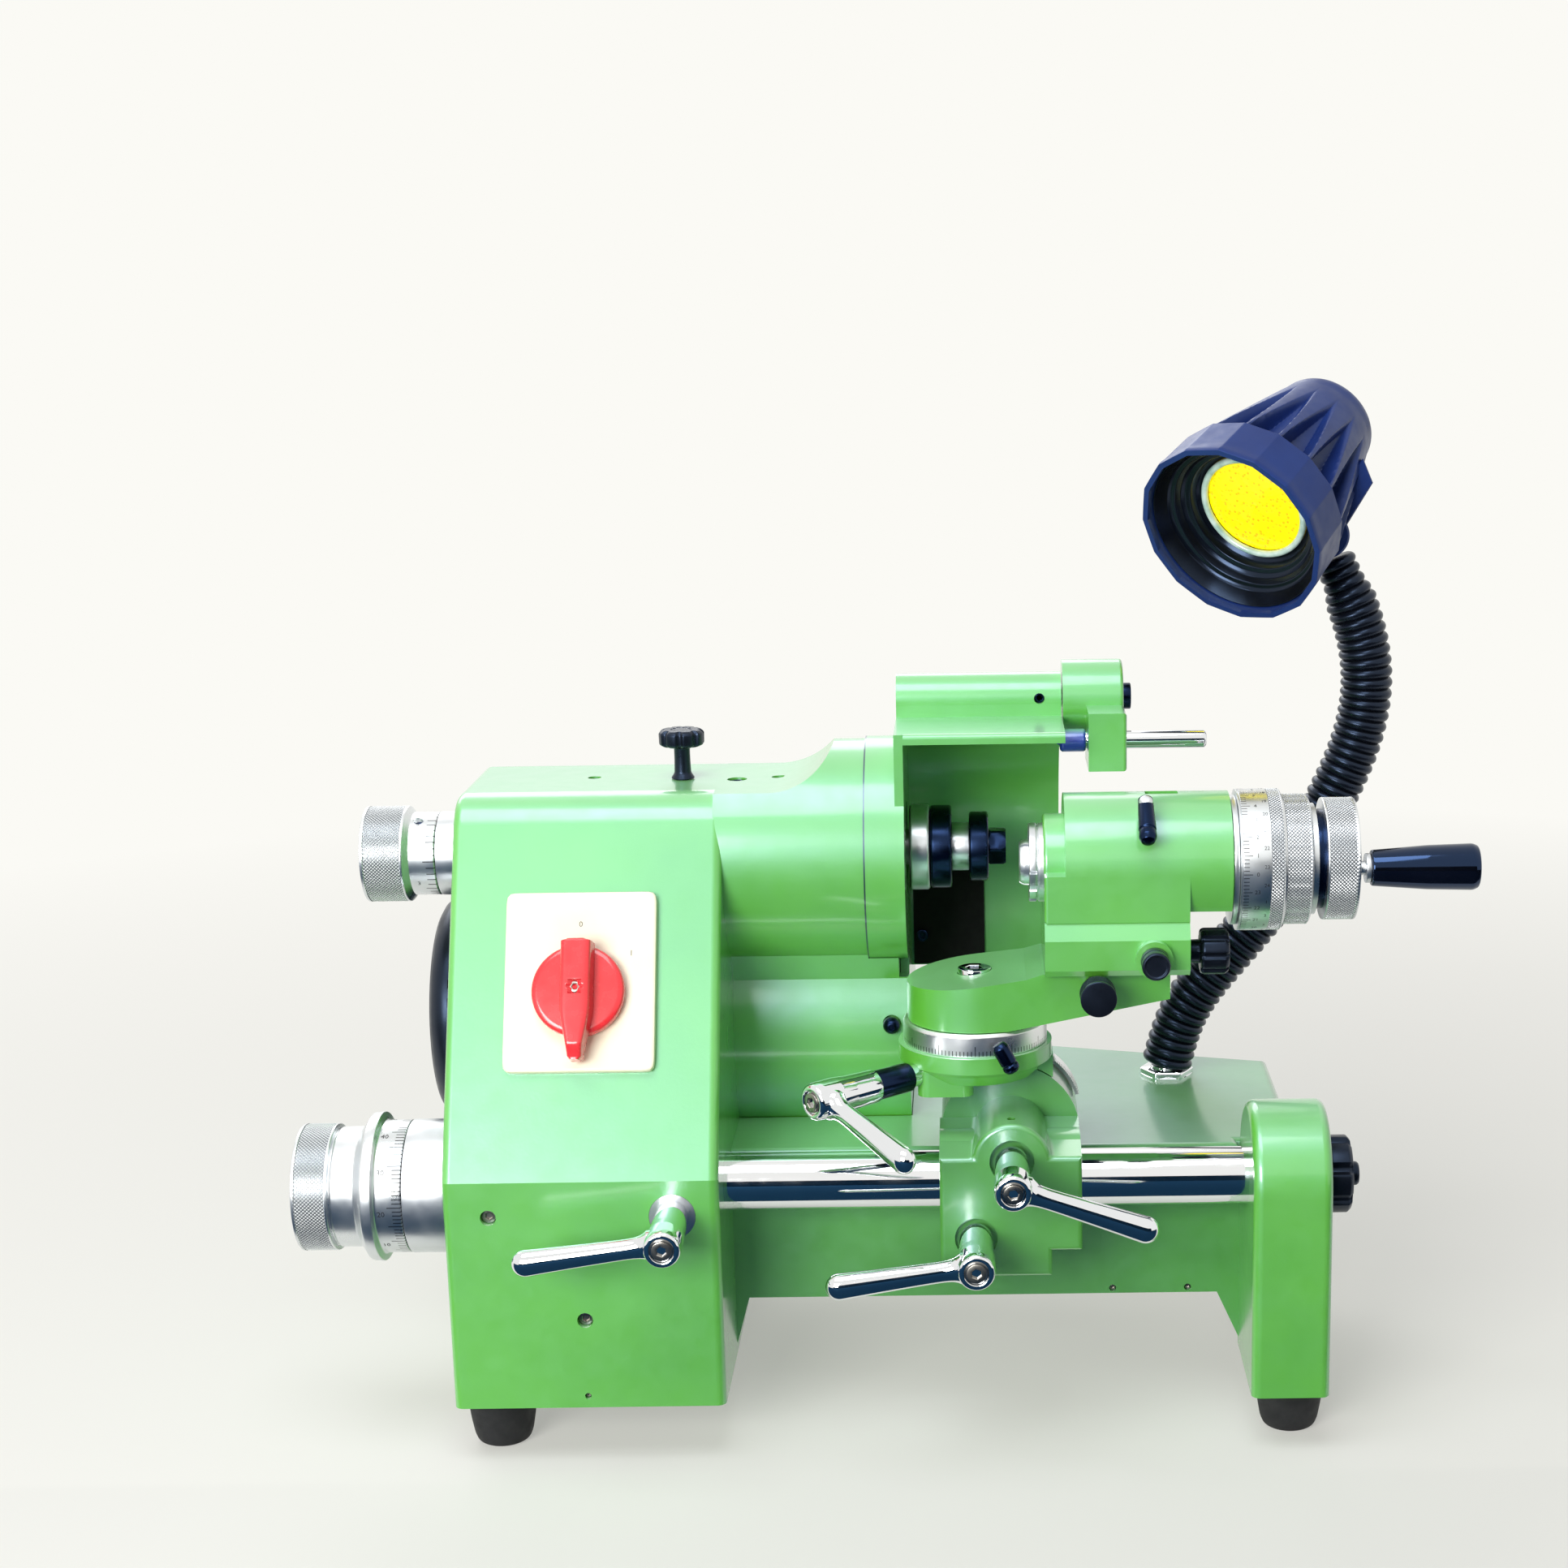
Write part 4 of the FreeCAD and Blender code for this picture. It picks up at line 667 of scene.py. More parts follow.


# %% [markdown]
# ## Workhead: index dial, hand wheel and crank
# The index dial is stepped: an engraved ring whose edge is knurled, a smaller knurled ring, then a
# blackened neck before the hand wheel, as painted shade in the gap. The crank's grip is a long black handle
# with a slight belly.

# %% Index dial and hand wheel
index_scale = scale("index_scale", "X", WORK, 120, (151.8, 154.2), 5, (151.8, 155.6), 0.32, 30.5,
                    grips=DIAL_GRIPS)
fine_grip, small_grip = knurl(*DIAL_GRIPS[0], 0.42), knurl(*DIAL_GRIPS[1], 0.4)
dial_rows = np.concatenate([
    eased([(150.8, 6), (150.8, 30.5), (151.3, 30.5), (151.4, 29.9), (151.7, 29.9), (151.8, 30.5),
           (163, 30.5)], 0.15), straight(163.5, 169.2, 0.4, 30.5),
    [(169.6, 30), (169.7, 28.3)], straight(170.4, 181.0, 0.3875, 28.2),
    [(181.6, 27.4), (182, 26.4), (182, 24), (184.4, 24), (184.4, 6), (150.8, 6)]])
spun("index_dial_ring", index_scale, "work_spindle", "satin_steel", "index_dial", "X", WORK,
     dial_rows, 480, lambda s, t: fine_grip(s, t) + small_grip(s, t))
numbers("index_numbers", "work_spindle", range(24), WORK, 157.8, 30.55, 1.9, math.pi)
numbers("index_numbers_low", "work_spindle", range(24, 0, -1), WORK, 161.6, 30.55, 1.7, 3.3)
wheel_steel = scale("hand_wheel_steel", "X", WORK, 1, (0, 0), grips=[WHEEL_GRIP])
wheel_rows = knurled([(187.8, 0), (187.8, 26.4), (201.8, 26.4), (201.8, 0)], WHEEL_GRIP)
pin = turned("X", CRANK, tube(201, 246, 0, 3, 0.4), 32)
make("hand_wheel", wheel_steel, "work_spindle", "satin_steel", "hand_knob",
     turned("X", WORK, wheel_rows, 416, knurl(*WHEEL_GRIP, 0.42)), pin)
# Painted shade: the neck in the gap before the hand wheel is blackened steel, to stand for the shade in the
# undercut.
spun("hand_wheel_shade_neck", black_steel["X"], "work_spindle", "satin_steel", None, "X", WORK,
     tube(184, 188.2, 0, 21.5, 0.3))

# %% Crank grip
grip = eased([(206.4, 3.2), (206.4, 7.6), (230, 9.4), (249.5, 9.95), (252, 8.9), (252, 0)], 1.0, 8)
spun("crank_grip", grip_black, "crank", "black_plastic", "crank_handle", "X", CRANK,
     np.concatenate([grip, [(246.6, 0), (246.6, 3.2), (206.4, 3.2)]]))
spun("crank_collar", turned_steel["X"], "crank", "satin_steel", None, "X", CRANK,
     tube(204, 206.3, 3.2, 6.3, 0.5), 48)


# %% Workhead nose and collet
def nose_slots(s, t):
    """Shallow flats for a spanner on the first millimetres of the nose."""
    return -0.9 * (np.cos(12 * t) > 0.5) * zone(s, 61, 65.4, 0.6) * (np.sin(t) < 0)


def collet_slits(s, t):
    """Three sawn slits that let the collet close."""
    return -3.2 * (np.abs(np.sin(1.5 * t)) < 0.05) * zone(s, 57.6, 66, 0.3)


spun("work_nose", turned_steel["X"], "work_spindle", "bright_steel", "workhead_spindle", "X", WORK,
     eased([(62, 10.2), (62, 17), (65.2, 17), (65.2, 16.3), (66, 16.3), (66, 17), (148, 17), (148, 28),
            (150.6, 28), (150.6, 6), (111, 6), (111, 10.2), (62, 10.2)], 0.6), 192, nose_slots)
spun("work_collet", turned_steel["X"], "work_spindle", "bright_steel", "collet", "X", WORK,
     eased([(58, 3), (58, 9), (60, 9.9), (111, 9.9), (111, 0), (90, 0), (90, 3), (58, 3)], 0.5),
     192, collet_slits)


# %% [markdown]
# ## Chromed clamp levers
# Each clamp has a hub that points at the operator and an arm that widens to a round end. A bent
# rod would have the same thickness all along, so the arm is a row of ellipses instead, whose half
# height follows a formula: a flare where it leaves the hub, a slow widening, and a quarter circle
# at the end. A socket screw sits in the hub behind a dark groove.

# %% Lever shapes
TIP = 5.8


def lever_arm(reach, side):
    """Ellipses along X at y = side: the half height is 4.3 + 1.5 (x/reach)^1.6 with a flare near
    the hub, then a quarter circle; the half thickness is five sixths of it."""
    quarter = np.linspace(0, np.pi / 2, 14)[1:]
    x = np.concatenate([np.linspace(0, reach, 48), reach + TIP * np.sin(quarter)])
    along = np.clip(x / reach, 0, 1)
    half = 4.3 + 1.5 * along ** 1.6 + 2.6 * np.exp(-np.clip(x - 6.5, 0, None) / 2.4)
    half = half * np.sqrt(1 - np.clip((x - reach) / TIP, 0, 1) ** 2)
    t = np.arange(40) * 2 * np.pi / 40
    half = half[:, None]
    return bar_grid(x, np.stack([side + 0.84 * half * np.cos(t), half * np.sin(t)], -1))


def lever(name, root, aim, swing, hub, reach, stud, stem=0.0):
    """A clamp lever at its root: turned by aim about the vertical, its arm hanging by swing."""
    turn = spin(aim, "Z") @ spin(swing, "Y")
    length, radius = stud
    hub_line = eased([(-hub + 1.2, 0), (-hub + 1.2, 5.1), (-hub, 5.2), (-hub, 6.7), (-hub + 0.9, 7.7),
                      (-hub + 4, 8.2), (-hub + 13, 8.2), (-hub + 20, 7.6), (-stem - 6, 7.3),
                      (-stem - 0.4, 7.3), (-stem - 0.4, radius), (length, radius), (length, 0)], 0.7)
    parts = [turned("Y", (0, 0), hub_line, 72), lever_arm(reach, -hub + 8)]
    make(name + "_chromed", chrome, name, "chrome", name + "_lever",
         *[moved(part, turn, root) for part in parts])
    screw = socket_head("Y", (0, 0), -hub - 0.3, 4.3, 2.0, 1.6, 2.2)
    make(name + "_screw", screw_steel, name, "chrome", None, moved(screw, turn, root))
    if stem:
        collar = turned("Y", (0, 0), tube(-stem - 0.3, -0.5, 5.2, 6.4, 0.5), 60)
        make(name + "_stem", black_steel["Y"], name, "chrome", None, moved(collar, turn, root))


# %% The four clamp levers
lever("bar_clamp", (-92, -94, 113), 0, 172.5, 41, 58, (19.5, 4.9))
lever("carriage_clamp", (37.4, -88, 99), 0, 172, 41, 58, (11, 4.9))
lever("relief_clamp", (53, -88, 133.4), 0, 19, 41, 58, (14, 3))
lever("tilt_clamp", (9, -68.6, 166), -48.6, 16.3, 53, 52, (16, 5), stem=19)

# %% Two small black levers
LOCK_AT = (50, -77.5, 180.2)
INDEX_X, INDEX_LEAN = 111, 37
lock_rows = eased([(-9, 0), (-9, 2.4), (-7.4, 3.6), (-5.6, 3.6), (-5.3, 3.2), (-4.9, 3.2), (-4.6, 3.6),
                   (3.2, 3.6), (5, 2.4), (5, 0)], 0.5)
lock_bar = turned("Z", (0, -6), lock_rows, 48)
lock_pin = turned("Y", (0, 0), tube(-3, 7, 0, 2.5, 0.2), 32)
make("swivel_lock_grip", black_steel["Z"], "swivel_lock", "black_steel", "swivel_lock_lever",
     *[moved(part, spin(-28, "Y"), LOCK_AT) for part in (lock_bar, lock_pin)])
index_rows = eased([(-3.4, 0), (-3.4, 2.0), (-2.4, 3.2), (0, 3.3), (14.4, 3.8), (14.8, 3.3), (15.6, 3.3),
                    (16, 3.8), (18.6, 3.8), (20.8, 2.8), (21.4, 1.2), (21.4, 0)], 0.4)
make("index_grip", black_steel["Z"], "index", "black_steel", "index_lever",
     moved(turned("Z", (0, 0), index_rows, 48), spin(INDEX_LEAN + 90, "X"), (INDEX_X, -67.97, 284.15)))
index_stem = turned("Z", (0, 0), eased([(29.5, 0), (29.5, 3), (38.6, 3), (40, 1.9), (40, 0)], 0.6), 40)
make("index_stem", turned_steel["Z"], "index", "black_steel", None,
     moved(index_stem, spin(INDEX_LEAN, "X"), (INDEX_X, *WORK)))


# %% [markdown]
# ## Black knobs
# The lock and feed knobs are black plastic. A fluted knob is a turned shape whose radius dips
# where the cosine of several times the angle is high, so the fingers find a hold; the plain ones
# have a finely knurled rim under a smooth face.

# %% Knobs
def knob(name, body, old, axis, centre, profile, around, ripple=None):
    spun(name, knob_black, body, "black_plastic", old, axis, centre, profile, around, ripple)


knob("spindle_lock_knob_head", "spindle_lock", "spindle_lock_knob", "Z", (-93, 21),
     eased([(272.4, 0), (272.4, 3.3), (281.4, 3.3), (281.4, 5.5), (284, 3.8), (290, 3.6), (295.4, 3.6),
            (296.2, 8.4), (297.2, 10.2), (302.4, 10.3), (303.8, 8.6), (304, 5.2), (303.6, 4.6),
            (303.6, 0)], 0.7), 160, flutes(295.5, 304.5, 8, 1.5, 0.1))
knob("bar_stop_grip", "bar_stop", "bar_stop_knob", "X", BAR,
     eased([(183, 0), (183, 4.9), (190.3, 4.9), (190.3, 15.4), (191.6, 17), (199.4, 17), (201, 15.2),
            (201, 5.4), (204, 5.2), (205, 4.4), (205, 2.6), (202.6, 2.4), (202.6, 0)], 0.6),
     192, flutes(190, 201.4, 7, 2.2, 0.35))
knob("slide_feed_grip", "slide_feed", "slide_feed_knob", "X", (-58, 217.6),
     eased([(101.4, 0), (101.4, 3), (130.4, 3), (130.4, 5), (135, 5.2), (135, 9.2), (136.2, 10),
            (145.6, 10), (147.3, 8.6), (147.3, 0)], 0.7), 160, flutes(134.6, 147.8, 8, 1.3, 0.2))
knob("slide_lock_grip", "slide_lock", "slide_lock_knob", "Y", (206, 90),
     knurled([(-93, 0), (-93, 7.7), (-82, 7.7), (-82, 5), (-70, 5), (-70, 3), (-56, 3), (-56, 0)],
             LOCK_GRIP), 240, knurl(*LOCK_GRIP, 0.35))
knob("gib_lock_grip", "gib_lock", "gib_lock_knob", "Y", (220, 114),
     eased([(-93.5, 0), (-93.5, 4.4), (-94, 4.8), (-94, 5.4), (-93.2, 6), (-89, 6), (-88.7, 5.6),
            (-88.2, 5.6), (-87.9, 6), (-83.6, 6), (-83.6, 3), (-68, 3), (-68, 0)], 0.3), 96)


# %% [markdown]
# ## Grinding spindle
# The nose shows a bright ground shoulder, then the blackened clamping collar and flange with the
# shaft's bright neck between them, and the nut that holds the wheel. Black oxide on steel is thin,
# so it mirrors its surroundings in a deep blue.

# %% Spindle nose
spun("spindle_nose", turned_steel["X"], "spindle", "bright_steel", "spindle_shaft", "X", SPINDLE,
     eased([(-166, 0), (-166, 8), (9.3, 8), (9.3, 18.6), (10.2, 19.5), (17.6, 19.5), (18.5, 18.6),
            (18.5, 7.5), (52, 7.5), (52, 0)], 0.5), 144)
collar = eased([(18.7, 7.6), (18.7, 18.2), (19.5, 19), (27.6, 19), (28.4, 18.2), (28.4, 7.6)], 0.5)
flange = eased([(36.3, 7.6), (36.3, 15), (37.1, 15.8), (44.3, 15.8), (45.1, 15), (45.1, 7.6)], 0.5)
make("clamping_flanges", black_steel["X"], "spindle", "black_steel", "wheel_flanges",
     *[turned("X", SPINDLE, line, 128) for line in (collar, flange)])
spun("spindle_neck", turned_steel["X"], "spindle", "bright_steel", None, "X", SPINDLE,
     tube(28.5, 36.2, 7.6, 11, 0.3))
spun("clamping_nut", black_steel["X"], "spindle", "black_steel", "wheel_nut", "X", SPINDLE,
     [(45.2, 7.5), (45.2, 8.0), (45.8, 8.7), (46.5, 8.7), (49, 8.7), (51.8, 8.7), (53, 8), (53, 7.5)],
     144, hexagon(7.75, 8.7, 45.4, 52.8, 0.5))


# %% [markdown]
# ## Feet, gland and small screws
# The four feet are moulded rubber: a cup that narrows towards a rounded sole, with a shallow
# waist under the casting.

# %% Rubber feet
FEET = [(-174, -67), (176, -62), (-175, 114), (174, 74)]
foot = eased([(0, 0), (0, 9.4), (1.2, 11.6), (4.5, 12.9), (12, 14.2), (20, 15.1), (23.4, 15.4),
              (24.2, 14.8), (26, 14.8), (26, 0)], 1.4, 5)
make("rubber_feet", rubber, "machine_frame", "rubber", "feet",
     *[turned("Z", spot, foot, 72) for spot in FEET])

# %% Cable gland on the left side
gland_six = hexagon(9.1, 10.5, -197, -190.2)


def gland_ripple(s, t):
    """Six flats for a spanner, and 24 ribs on the cap."""
    return gland_six(s, t) - 0.5 * (np.cos(t * 24) > 0) * zone(s, -204.4, -197.6, 0.6)


spun("gland", knob_black, "machine_frame", "black_plastic", "cable_gland", "X", (100, 45),
     eased([(-208, 4), (-208, 5.6), (-206.5, 6.8), (-204, 8.5), (-197.2, 8.5), (-197, 10.5),
            (-196.4, 10.5), (-190.6, 10.5), (-190, 9.9), (-190, 6.3), (-181, 6.3), (-181, 4), (-208, 4)], 0.4),
     144, gland_ripple)

# %% Cap screws
SCREW_X, SCREW_Z = (-173, -89), (63, 203)
dome = [(-5.1, 0), (-5.1, 1.3), (-5.85, 1.45), (-5.6, 2.0), (-4.9, 2.9), (-3.6, 3.7), (-2, 4),
        (-0.5, 3.6), (0.4, 3), (1.0, 0)]
screws = [turned("Y", (170, 0), dome, 48), socket_head("X", BOSS, 111, 6, 2.6, 2.2, 4.2, looks=1)]
screws += [socket_head("Y", (z, x), 136.2, 3.3, 1.5, 1.0, 1.1, looks=1) for x in SCREW_X for z in SCREW_Z]
make("black_cap_screws", black_steel["X"], "machine_frame", "black_steel", "cap_screws", *screws)
make("flap_screw", black_steel["Y"], "machine_frame", "black_steel", None,
     socket_head("Y", (193.5, 13), 71.0, 3, 1.3, 1.2, 2))

# %% Set screws in the casting's holes
front = [socket_head("Y", spot, -91.4, 3.3, 1.5, 1.6, 1.3) for spot in ((113.4, -170.5), (66.3, -131.3))]
front.append(socket_head("Y", (31.3, -131.6), -92.4, 1.35, 0.6, 0.8, 1.3))
front += [socket_head("Y", (54.4, x), -33.8, 1.55, 0.7, 0.8, 1.6) for x in (132.7, 98.8)]
make("set_screws_front", screw_steel, "machine_frame", "black_steel", None, *front)
roof = [socket_head("Z", (x, y), 280.2, radius - 0.1, key, 1.8, 2, looks=1)
        for x, y, radius, key in ((-134, 26.8, 3, 1.3), (-68.3, 18.2, 4.5, 2.2), (-50, 22.8, 3, 1.3))]
roof.append(socket_head("Y", (314.5, 69), 29.6, 2.3, 1.1, 1.2, 1.2))
make("set_screws_top", black_steel["Z"], "machine_frame", "black_steel", None, *roof)

# %% Swivel pivot screw
PIVOT = (38, -46)
make("pivot_cap_screw", chrome, "arm", "chrome", "pivot_screw",
     socket_head("Z", PIVOT, 208.6, 7.2, 3.4, 2.8, 3.6, looks=1, around=96),
     turned("Z", PIVOT, [(168.5, 0), (168.5, 4), (205, 4), (205, 0)], 40))


# %% [markdown]
# ## Swivel scale and relief scale
# Under the arm lies a white steel ring with a degree scale. Behind the relief drum a thin steel
# arc shows how far the head is tilted: a strip bent round the drum's axis.

# %% Swivel and relief scales
DRUM = (53, 133.4)
swivel_scale = scale("swivel_ring_scale", "Z", PIVOT, 120, (177.2, 179.4), 10, (177.2, 181.6), 0.35, 31.4,
                     "ECEDEE")
spun("swivel_ring", swivel_scale, "tilt_head", "satin_steel", "swivel_scale", "Z", PIVOT,
     eased([(176.5, 4.2), (176.5, 31.2), (176.9, 31.4), (185.4, 31.4), (186.7, 30.4), (186.7, 4.2)], 0.3),
     144)
relief_scale = scale("relief_arc_scale", "Y", DRUM, 180, (-24, -20.5), 5, (-24, -18.5), 0.3, 32.4,
                     "E4E6E8")
arc = np.radians(np.linspace(17.5, 51, 40))[:, None]
radius, y = np.array([(31.1, -24), (32.5, -24), (32.7, -23.8), (32.7, -12.2), (32.5, -12), (31.1, -12)]).T
strip = np.stack([DRUM[0] + radius * np.cos(arc), y + 0 * arc, DRUM[1] + radius * np.sin(arc)], -1)
make("relief_arc", relief_scale, "tilt_head", "satin_steel", None, capped(strip))


# %% [markdown]
# ## Dresser
# The diamond sits in a blue-enamelled holder; a plain steel rod sticks out on the other side of
# the lug, and pushes it.

# %% Diamond holder and rod
spun("diamond_holder", blue, "diamond", "blue_steel", None, "X", DIAMOND,
     eased([(74, 0), (77.6, 2.2), (78, 4.4), (79, 5.2), (88.6, 5.2), (89.5, 4.6), (89.5, 4.05)], 0.5), 64)
spun("diamond_rod", chrome, "diamond", "blue_steel", "dresser_rod", "X", DIAMOND,
     eased([(88, 0), (88, 4), (143, 4), (144, 3.1), (144, 0)], 0.4), 64)


# %% [markdown]
# ## Mains switch
# An ivory plate on the sloped panel carries a red rotary knob: a disc with a raised grip, square at
# its upper end and running to a narrow tip at its lower end. The grip is a row of rounded boxes
# whose width and height follow two curves along it.

# %% Switch plate and disc
LEAN = 26.4
PANEL_TURN = spin(90 - LEAN, "X")
PANEL_AT = (-131.8, -94 + (206.3 - 129) * math.tan(math.radians(LEAN)), 206.3)
KNOB_AT = (0, -5, 0)


def on_panel(grid, at=(0, 0, 0)):
    """Carry a shape drawn flat (x along, y up, z out) on to the sloped panel."""
    return moved(moved(grid, None, at), PANEL_TURN, PANEL_AT)


plate = pillow(rounded_box(65.2, 79, 26),
               [(0.5, 0.02), (0, 0.5), (0, 2.9), (0.25, 3.6), (0.9, 4.0), (1.4, 4.0)])
make("switch_cover", ivory, "machine_frame", "ivory_plastic", "switch_plate", on_panel(plate))
disc = eased([(-3, 0), (-3, 3), (4.35, 3), (4.35, 19.2), (5.2, 20), (8.8, 20), (9.9, 19.4), (10.5, 17.6),
              (10.6, 0)], 0.6)


# %% Switch grip
def squared(wave):
    """A cosine or sine pulled towards its ends, which makes a rounded box of a circle."""
    return np.sign(wave) * np.abs(wave) ** 0.32


FOOT, TOP = 8.2, 19
v = np.concatenate([np.linspace(-31, -27, 12), np.linspace(-26.5, 19.5, 110), np.linspace(19.7, 21, 8)])
square_end = smooth((v - 20) / 1.0)
half_wide = 3.6 + 3.9 * smooth((v + 31) / 24)
half_wide = half_wide * (1 - 0.35 * square_end) * np.sqrt(np.clip((v + 31.5) / 2.0, 0.3, 1))
grip_top = TOP - 3.0 * smooth((-24 - v) / 7) - 0.8 * square_end
t = np.arange(72) * 2 * np.pi / 72
rise = 0.5 + 0.5 * squared(np.sin(t))
high = FOOT + (grip_top - FOOT)[:, None] * rise
wide = half_wide[:, None] * squared(np.cos(t)) * (1 - 0.16 * rise)
well = np.hypot(wide, v[:, None])
high = high - 2.4 * smooth((3.1 - well) / 0.5) * (rise > 0.8)
blade = bar_grid(v, np.stack([wide, high], -1))
blade = np.stack([-blade[..., 1], blade[..., 0], blade[..., 2]], -1)
make("switch_dial", red, "switch", "red_plastic", "switch_knob",
     on_panel(turned("Z", (0, 0), disc, 128), KNOB_AT), on_panel(blade, KNOB_AT))
knob_screw = socket_head("Z", (0, 0), 17.6, 2.5, 1.1, 1.0, 1.4, looks=1, around=48)
make("switch_dial_screw", screw_steel, "switch", "red_plastic", None, on_panel(knob_screw, KNOB_AT))
marks = []
for label, x, y in (("0", 0, 25), ("1", 22, 12)):
    co, faces = flat_text(label, 2.6)
    marks.append((on_panel(co, (x, y, 4.03)), faces))
lettering("switch_marks", "machine_frame", marks)


# %% [markdown]
# ## Work lamp
# The lamp's head is a moulded shell. A band of sixteen flats runs round its rim, and behind each
# flat a deep scoop narrows like a leaf towards the round back, so that thin fins stay between
# them. All of it is one surface of revolution whose radius also depends on the angle.

# %% Lamp head
LAMP_TURN = Vector((1, 0, 0)).rotation_difference(Vector((0.529, 0.705, 0.472))).to_matrix()
LAMP_AT = (156, 43, 385.3)
FINS = 16
BAND_END, SCOOP_END = 26.2, 90
HOSE_Y = 76


def lamp_shape(s, t):
    """What is added to the plain cone: on the band, flats (the radius over the cosine of the angle
    from a flat's middle); behind it, leaf-shaped scoops that get shallower towards the back."""
    fin = 2 * np.pi / FINS
    off = np.mod(t, fin) / fin - 0.5
    flats = 44.8 * math.cos(fin / 2) * (1 / np.cos(off * fin) - 1 / math.cos(fin / 2)) * 0.9
    back = np.clip((s - BAND_END) / (SCOOP_END - BAND_END), 0, 1)
    leaf = 0.455 * (1 - back ** 1.9)
    deep = 9.5 * (1 - smooth(back)) ** 0.8
    scoop = -deep * smooth((leaf - np.abs(off)) / (0.10 + 0.25 * back))
    return zone(s, -1, BAND_END, 0.1) * flats + scoop * zone(s, BAND_END, SCOOP_END + 1, 0.3)


def on_lamp(profile, around, ripple=None):
    """A profile turned about the lamp's own axis, which runs from its rim to its back."""
    return moved(turned("X", (0, 0), profile, around, ripple), LAMP_TURN, LAMP_AT)


shell_rows = [(2.0, 42.6), (0.0, 42.8), (-0.0, 45.3), (0.6, 45.5), (3, 45.4)]
shell_rows += [(x, 45.3 - 0.055 * x) for x in np.linspace(5, 25.6, 8)]
shell_rows += [(26.0, 43.6), (26.25, 43.0)]
back_x = np.linspace(26.6, 92, 64)
shell_rows += list(zip(back_x, np.interp(back_x, [26, 40, 60, 86, 92], [43.0, 39.4, 34, 27.1, 25.4])))
turn_in = np.linspace(0, np.pi / 2, 10)[1:-1]
shell_rows += [(93 + 9 * math.sin(a), 17.4 + 7.7 * math.cos(a)) for a in turn_in] + [(102, 16), (102, 0)]
inner_rows = [(98, 0), (98, 15), (92, 22), (85, 24), (30, 29), (27, 31), (26, 40.8), (24, 41), (2, 42.6)]
make("lamp_shell", lamp_shell, "lamp", "lamp_plastic", "lamp_head",
     on_lamp(shell_rows, 512, lamp_shape), on_lamp(inner_rows, 128), sharp=28)
spun("lamp_knuckle", lamp_shell, "lamp", "lamp_plastic", None, "Y", (382.5, 203.3),
     [(64.5, 0), (64.5, 9.4), (65.6, 10.4), (86.6, 10.4), (87.6, 9.4), (87.6, 0)], 64)

# %% Lamp bracket
wing = np.array([(203.5, 376.5), (212, 384), (225.2, 405.8), (220.6, 416.6), (214, 410), (203, 392)])
wing_x, wing_z = wing.mean(0)
wing_grid = pillow(wing - wing.mean(0), [(0.6, -2.4), (0, -1.8), (0, 1.8), (0.6, 2.4)])
make("lamp_wing", lamp_shell, "lamp", "lamp_plastic", None,
     moved(wing_grid, spin(90, "X"), (wing_x, HOSE_Y, wing_z)), sharp=40)

# %% [markdown]
# Inside the rim there is a stepped black bowl, then the lens: a dimpled yellow filter behind a
# clear glass ring. The filter is lit from behind, so it glows a little.

# %% Bowl, glass ring and filter
bowl_rows = eased([(55, 0), (54, 10), (34, 22), (24.4, 26.8), (22.4, 29.2), (19, 30.4), (18.4, 32.6),
                   (17, 34.2), (13.6, 35.6), (13.2, 37.4), (12, 38.6), (4.6, 41.6), (5.2, 42.2), (6, 41.6),
                   (22, 40), (27, 35), (32, 33), (38, 23.5), (46, 20.5), (60, 19), (60, 0)], 0.5)
make("lamp_bowl", lamp_bowl, "lamp", "reflector", "lamp_reflector", on_lamp(bowl_rows, 128))
ring_t = np.linspace(0, 2 * np.pi, 25)
glass_rows = np.stack([23.6 + 1.7 * np.cos(ring_t), 25.2 + 1.6 * np.sin(ring_t)], 1)
make("lamp_glass_ring", glass, "lamp", "lens", None, on_lamp(glass_rows, 128))
lens = Finish("yellow_filter", "FFE800", 0.35, Coat_Weight=0.6, Emission_Strength=0.45)
where = lens.node("ShaderNodeMapping", None, {"Vector": lens.millimetres()})
dots = lens.node("ShaderNodeTexVoronoi", {"feature": "F1"}, {"Vector": where, "Scale": 0.45})
dimples = lens.between(dots, 0.05, 0.5)
lens.feed("Base Color", lens.blend(dimples, linear("E8B400"), linear("FFEB00")))
lens.feed("Emission Color", lens.blend(dimples, linear("D9A400"), linear("FFE600")))
lens.bump(dimples, 0.25, 0.8)
lens_rows = [(23.2, 0), (23.2, 1.1), (23.9, 1.5), (24.1, 2.2)]
lens_rows += [(24.1 + 1.1 * (r / 24) ** 2, r) for r in np.linspace(3, 24, 12)]
lens_rows += [(26.3, 24.6), (28, 24.6), (28, 0)]
make("lamp_filter", lens, "lamp", "lens", "lamp_lens", on_lamp(lens_rows, 96))


# %% [markdown]
# The gooseneck is a ribbed plastic hose. Its middle line goes smoothly through ten points: between
# neighbours it is a cubic, and the slopes at the points come from one set of linear equations that
# makes the bending continuous. The ribs are rings whose radius swings between groove and crest, and
# the last ones are slimmer, under the lamp's knuckle.

# %% Gooseneck
ROUTE = np.array([(131, 126.5), (139.5, 153), (156, 177), (178, 204), (196, 233), (211, 262),
                  (221.5, 290), (224.3, 318), (218, 347), (208, 371)], float)
RIBS = 56
ROWS_PER_RIB = 10
HOSE_GROOVE, RIB_HEIGHT = 10.3, 1.9


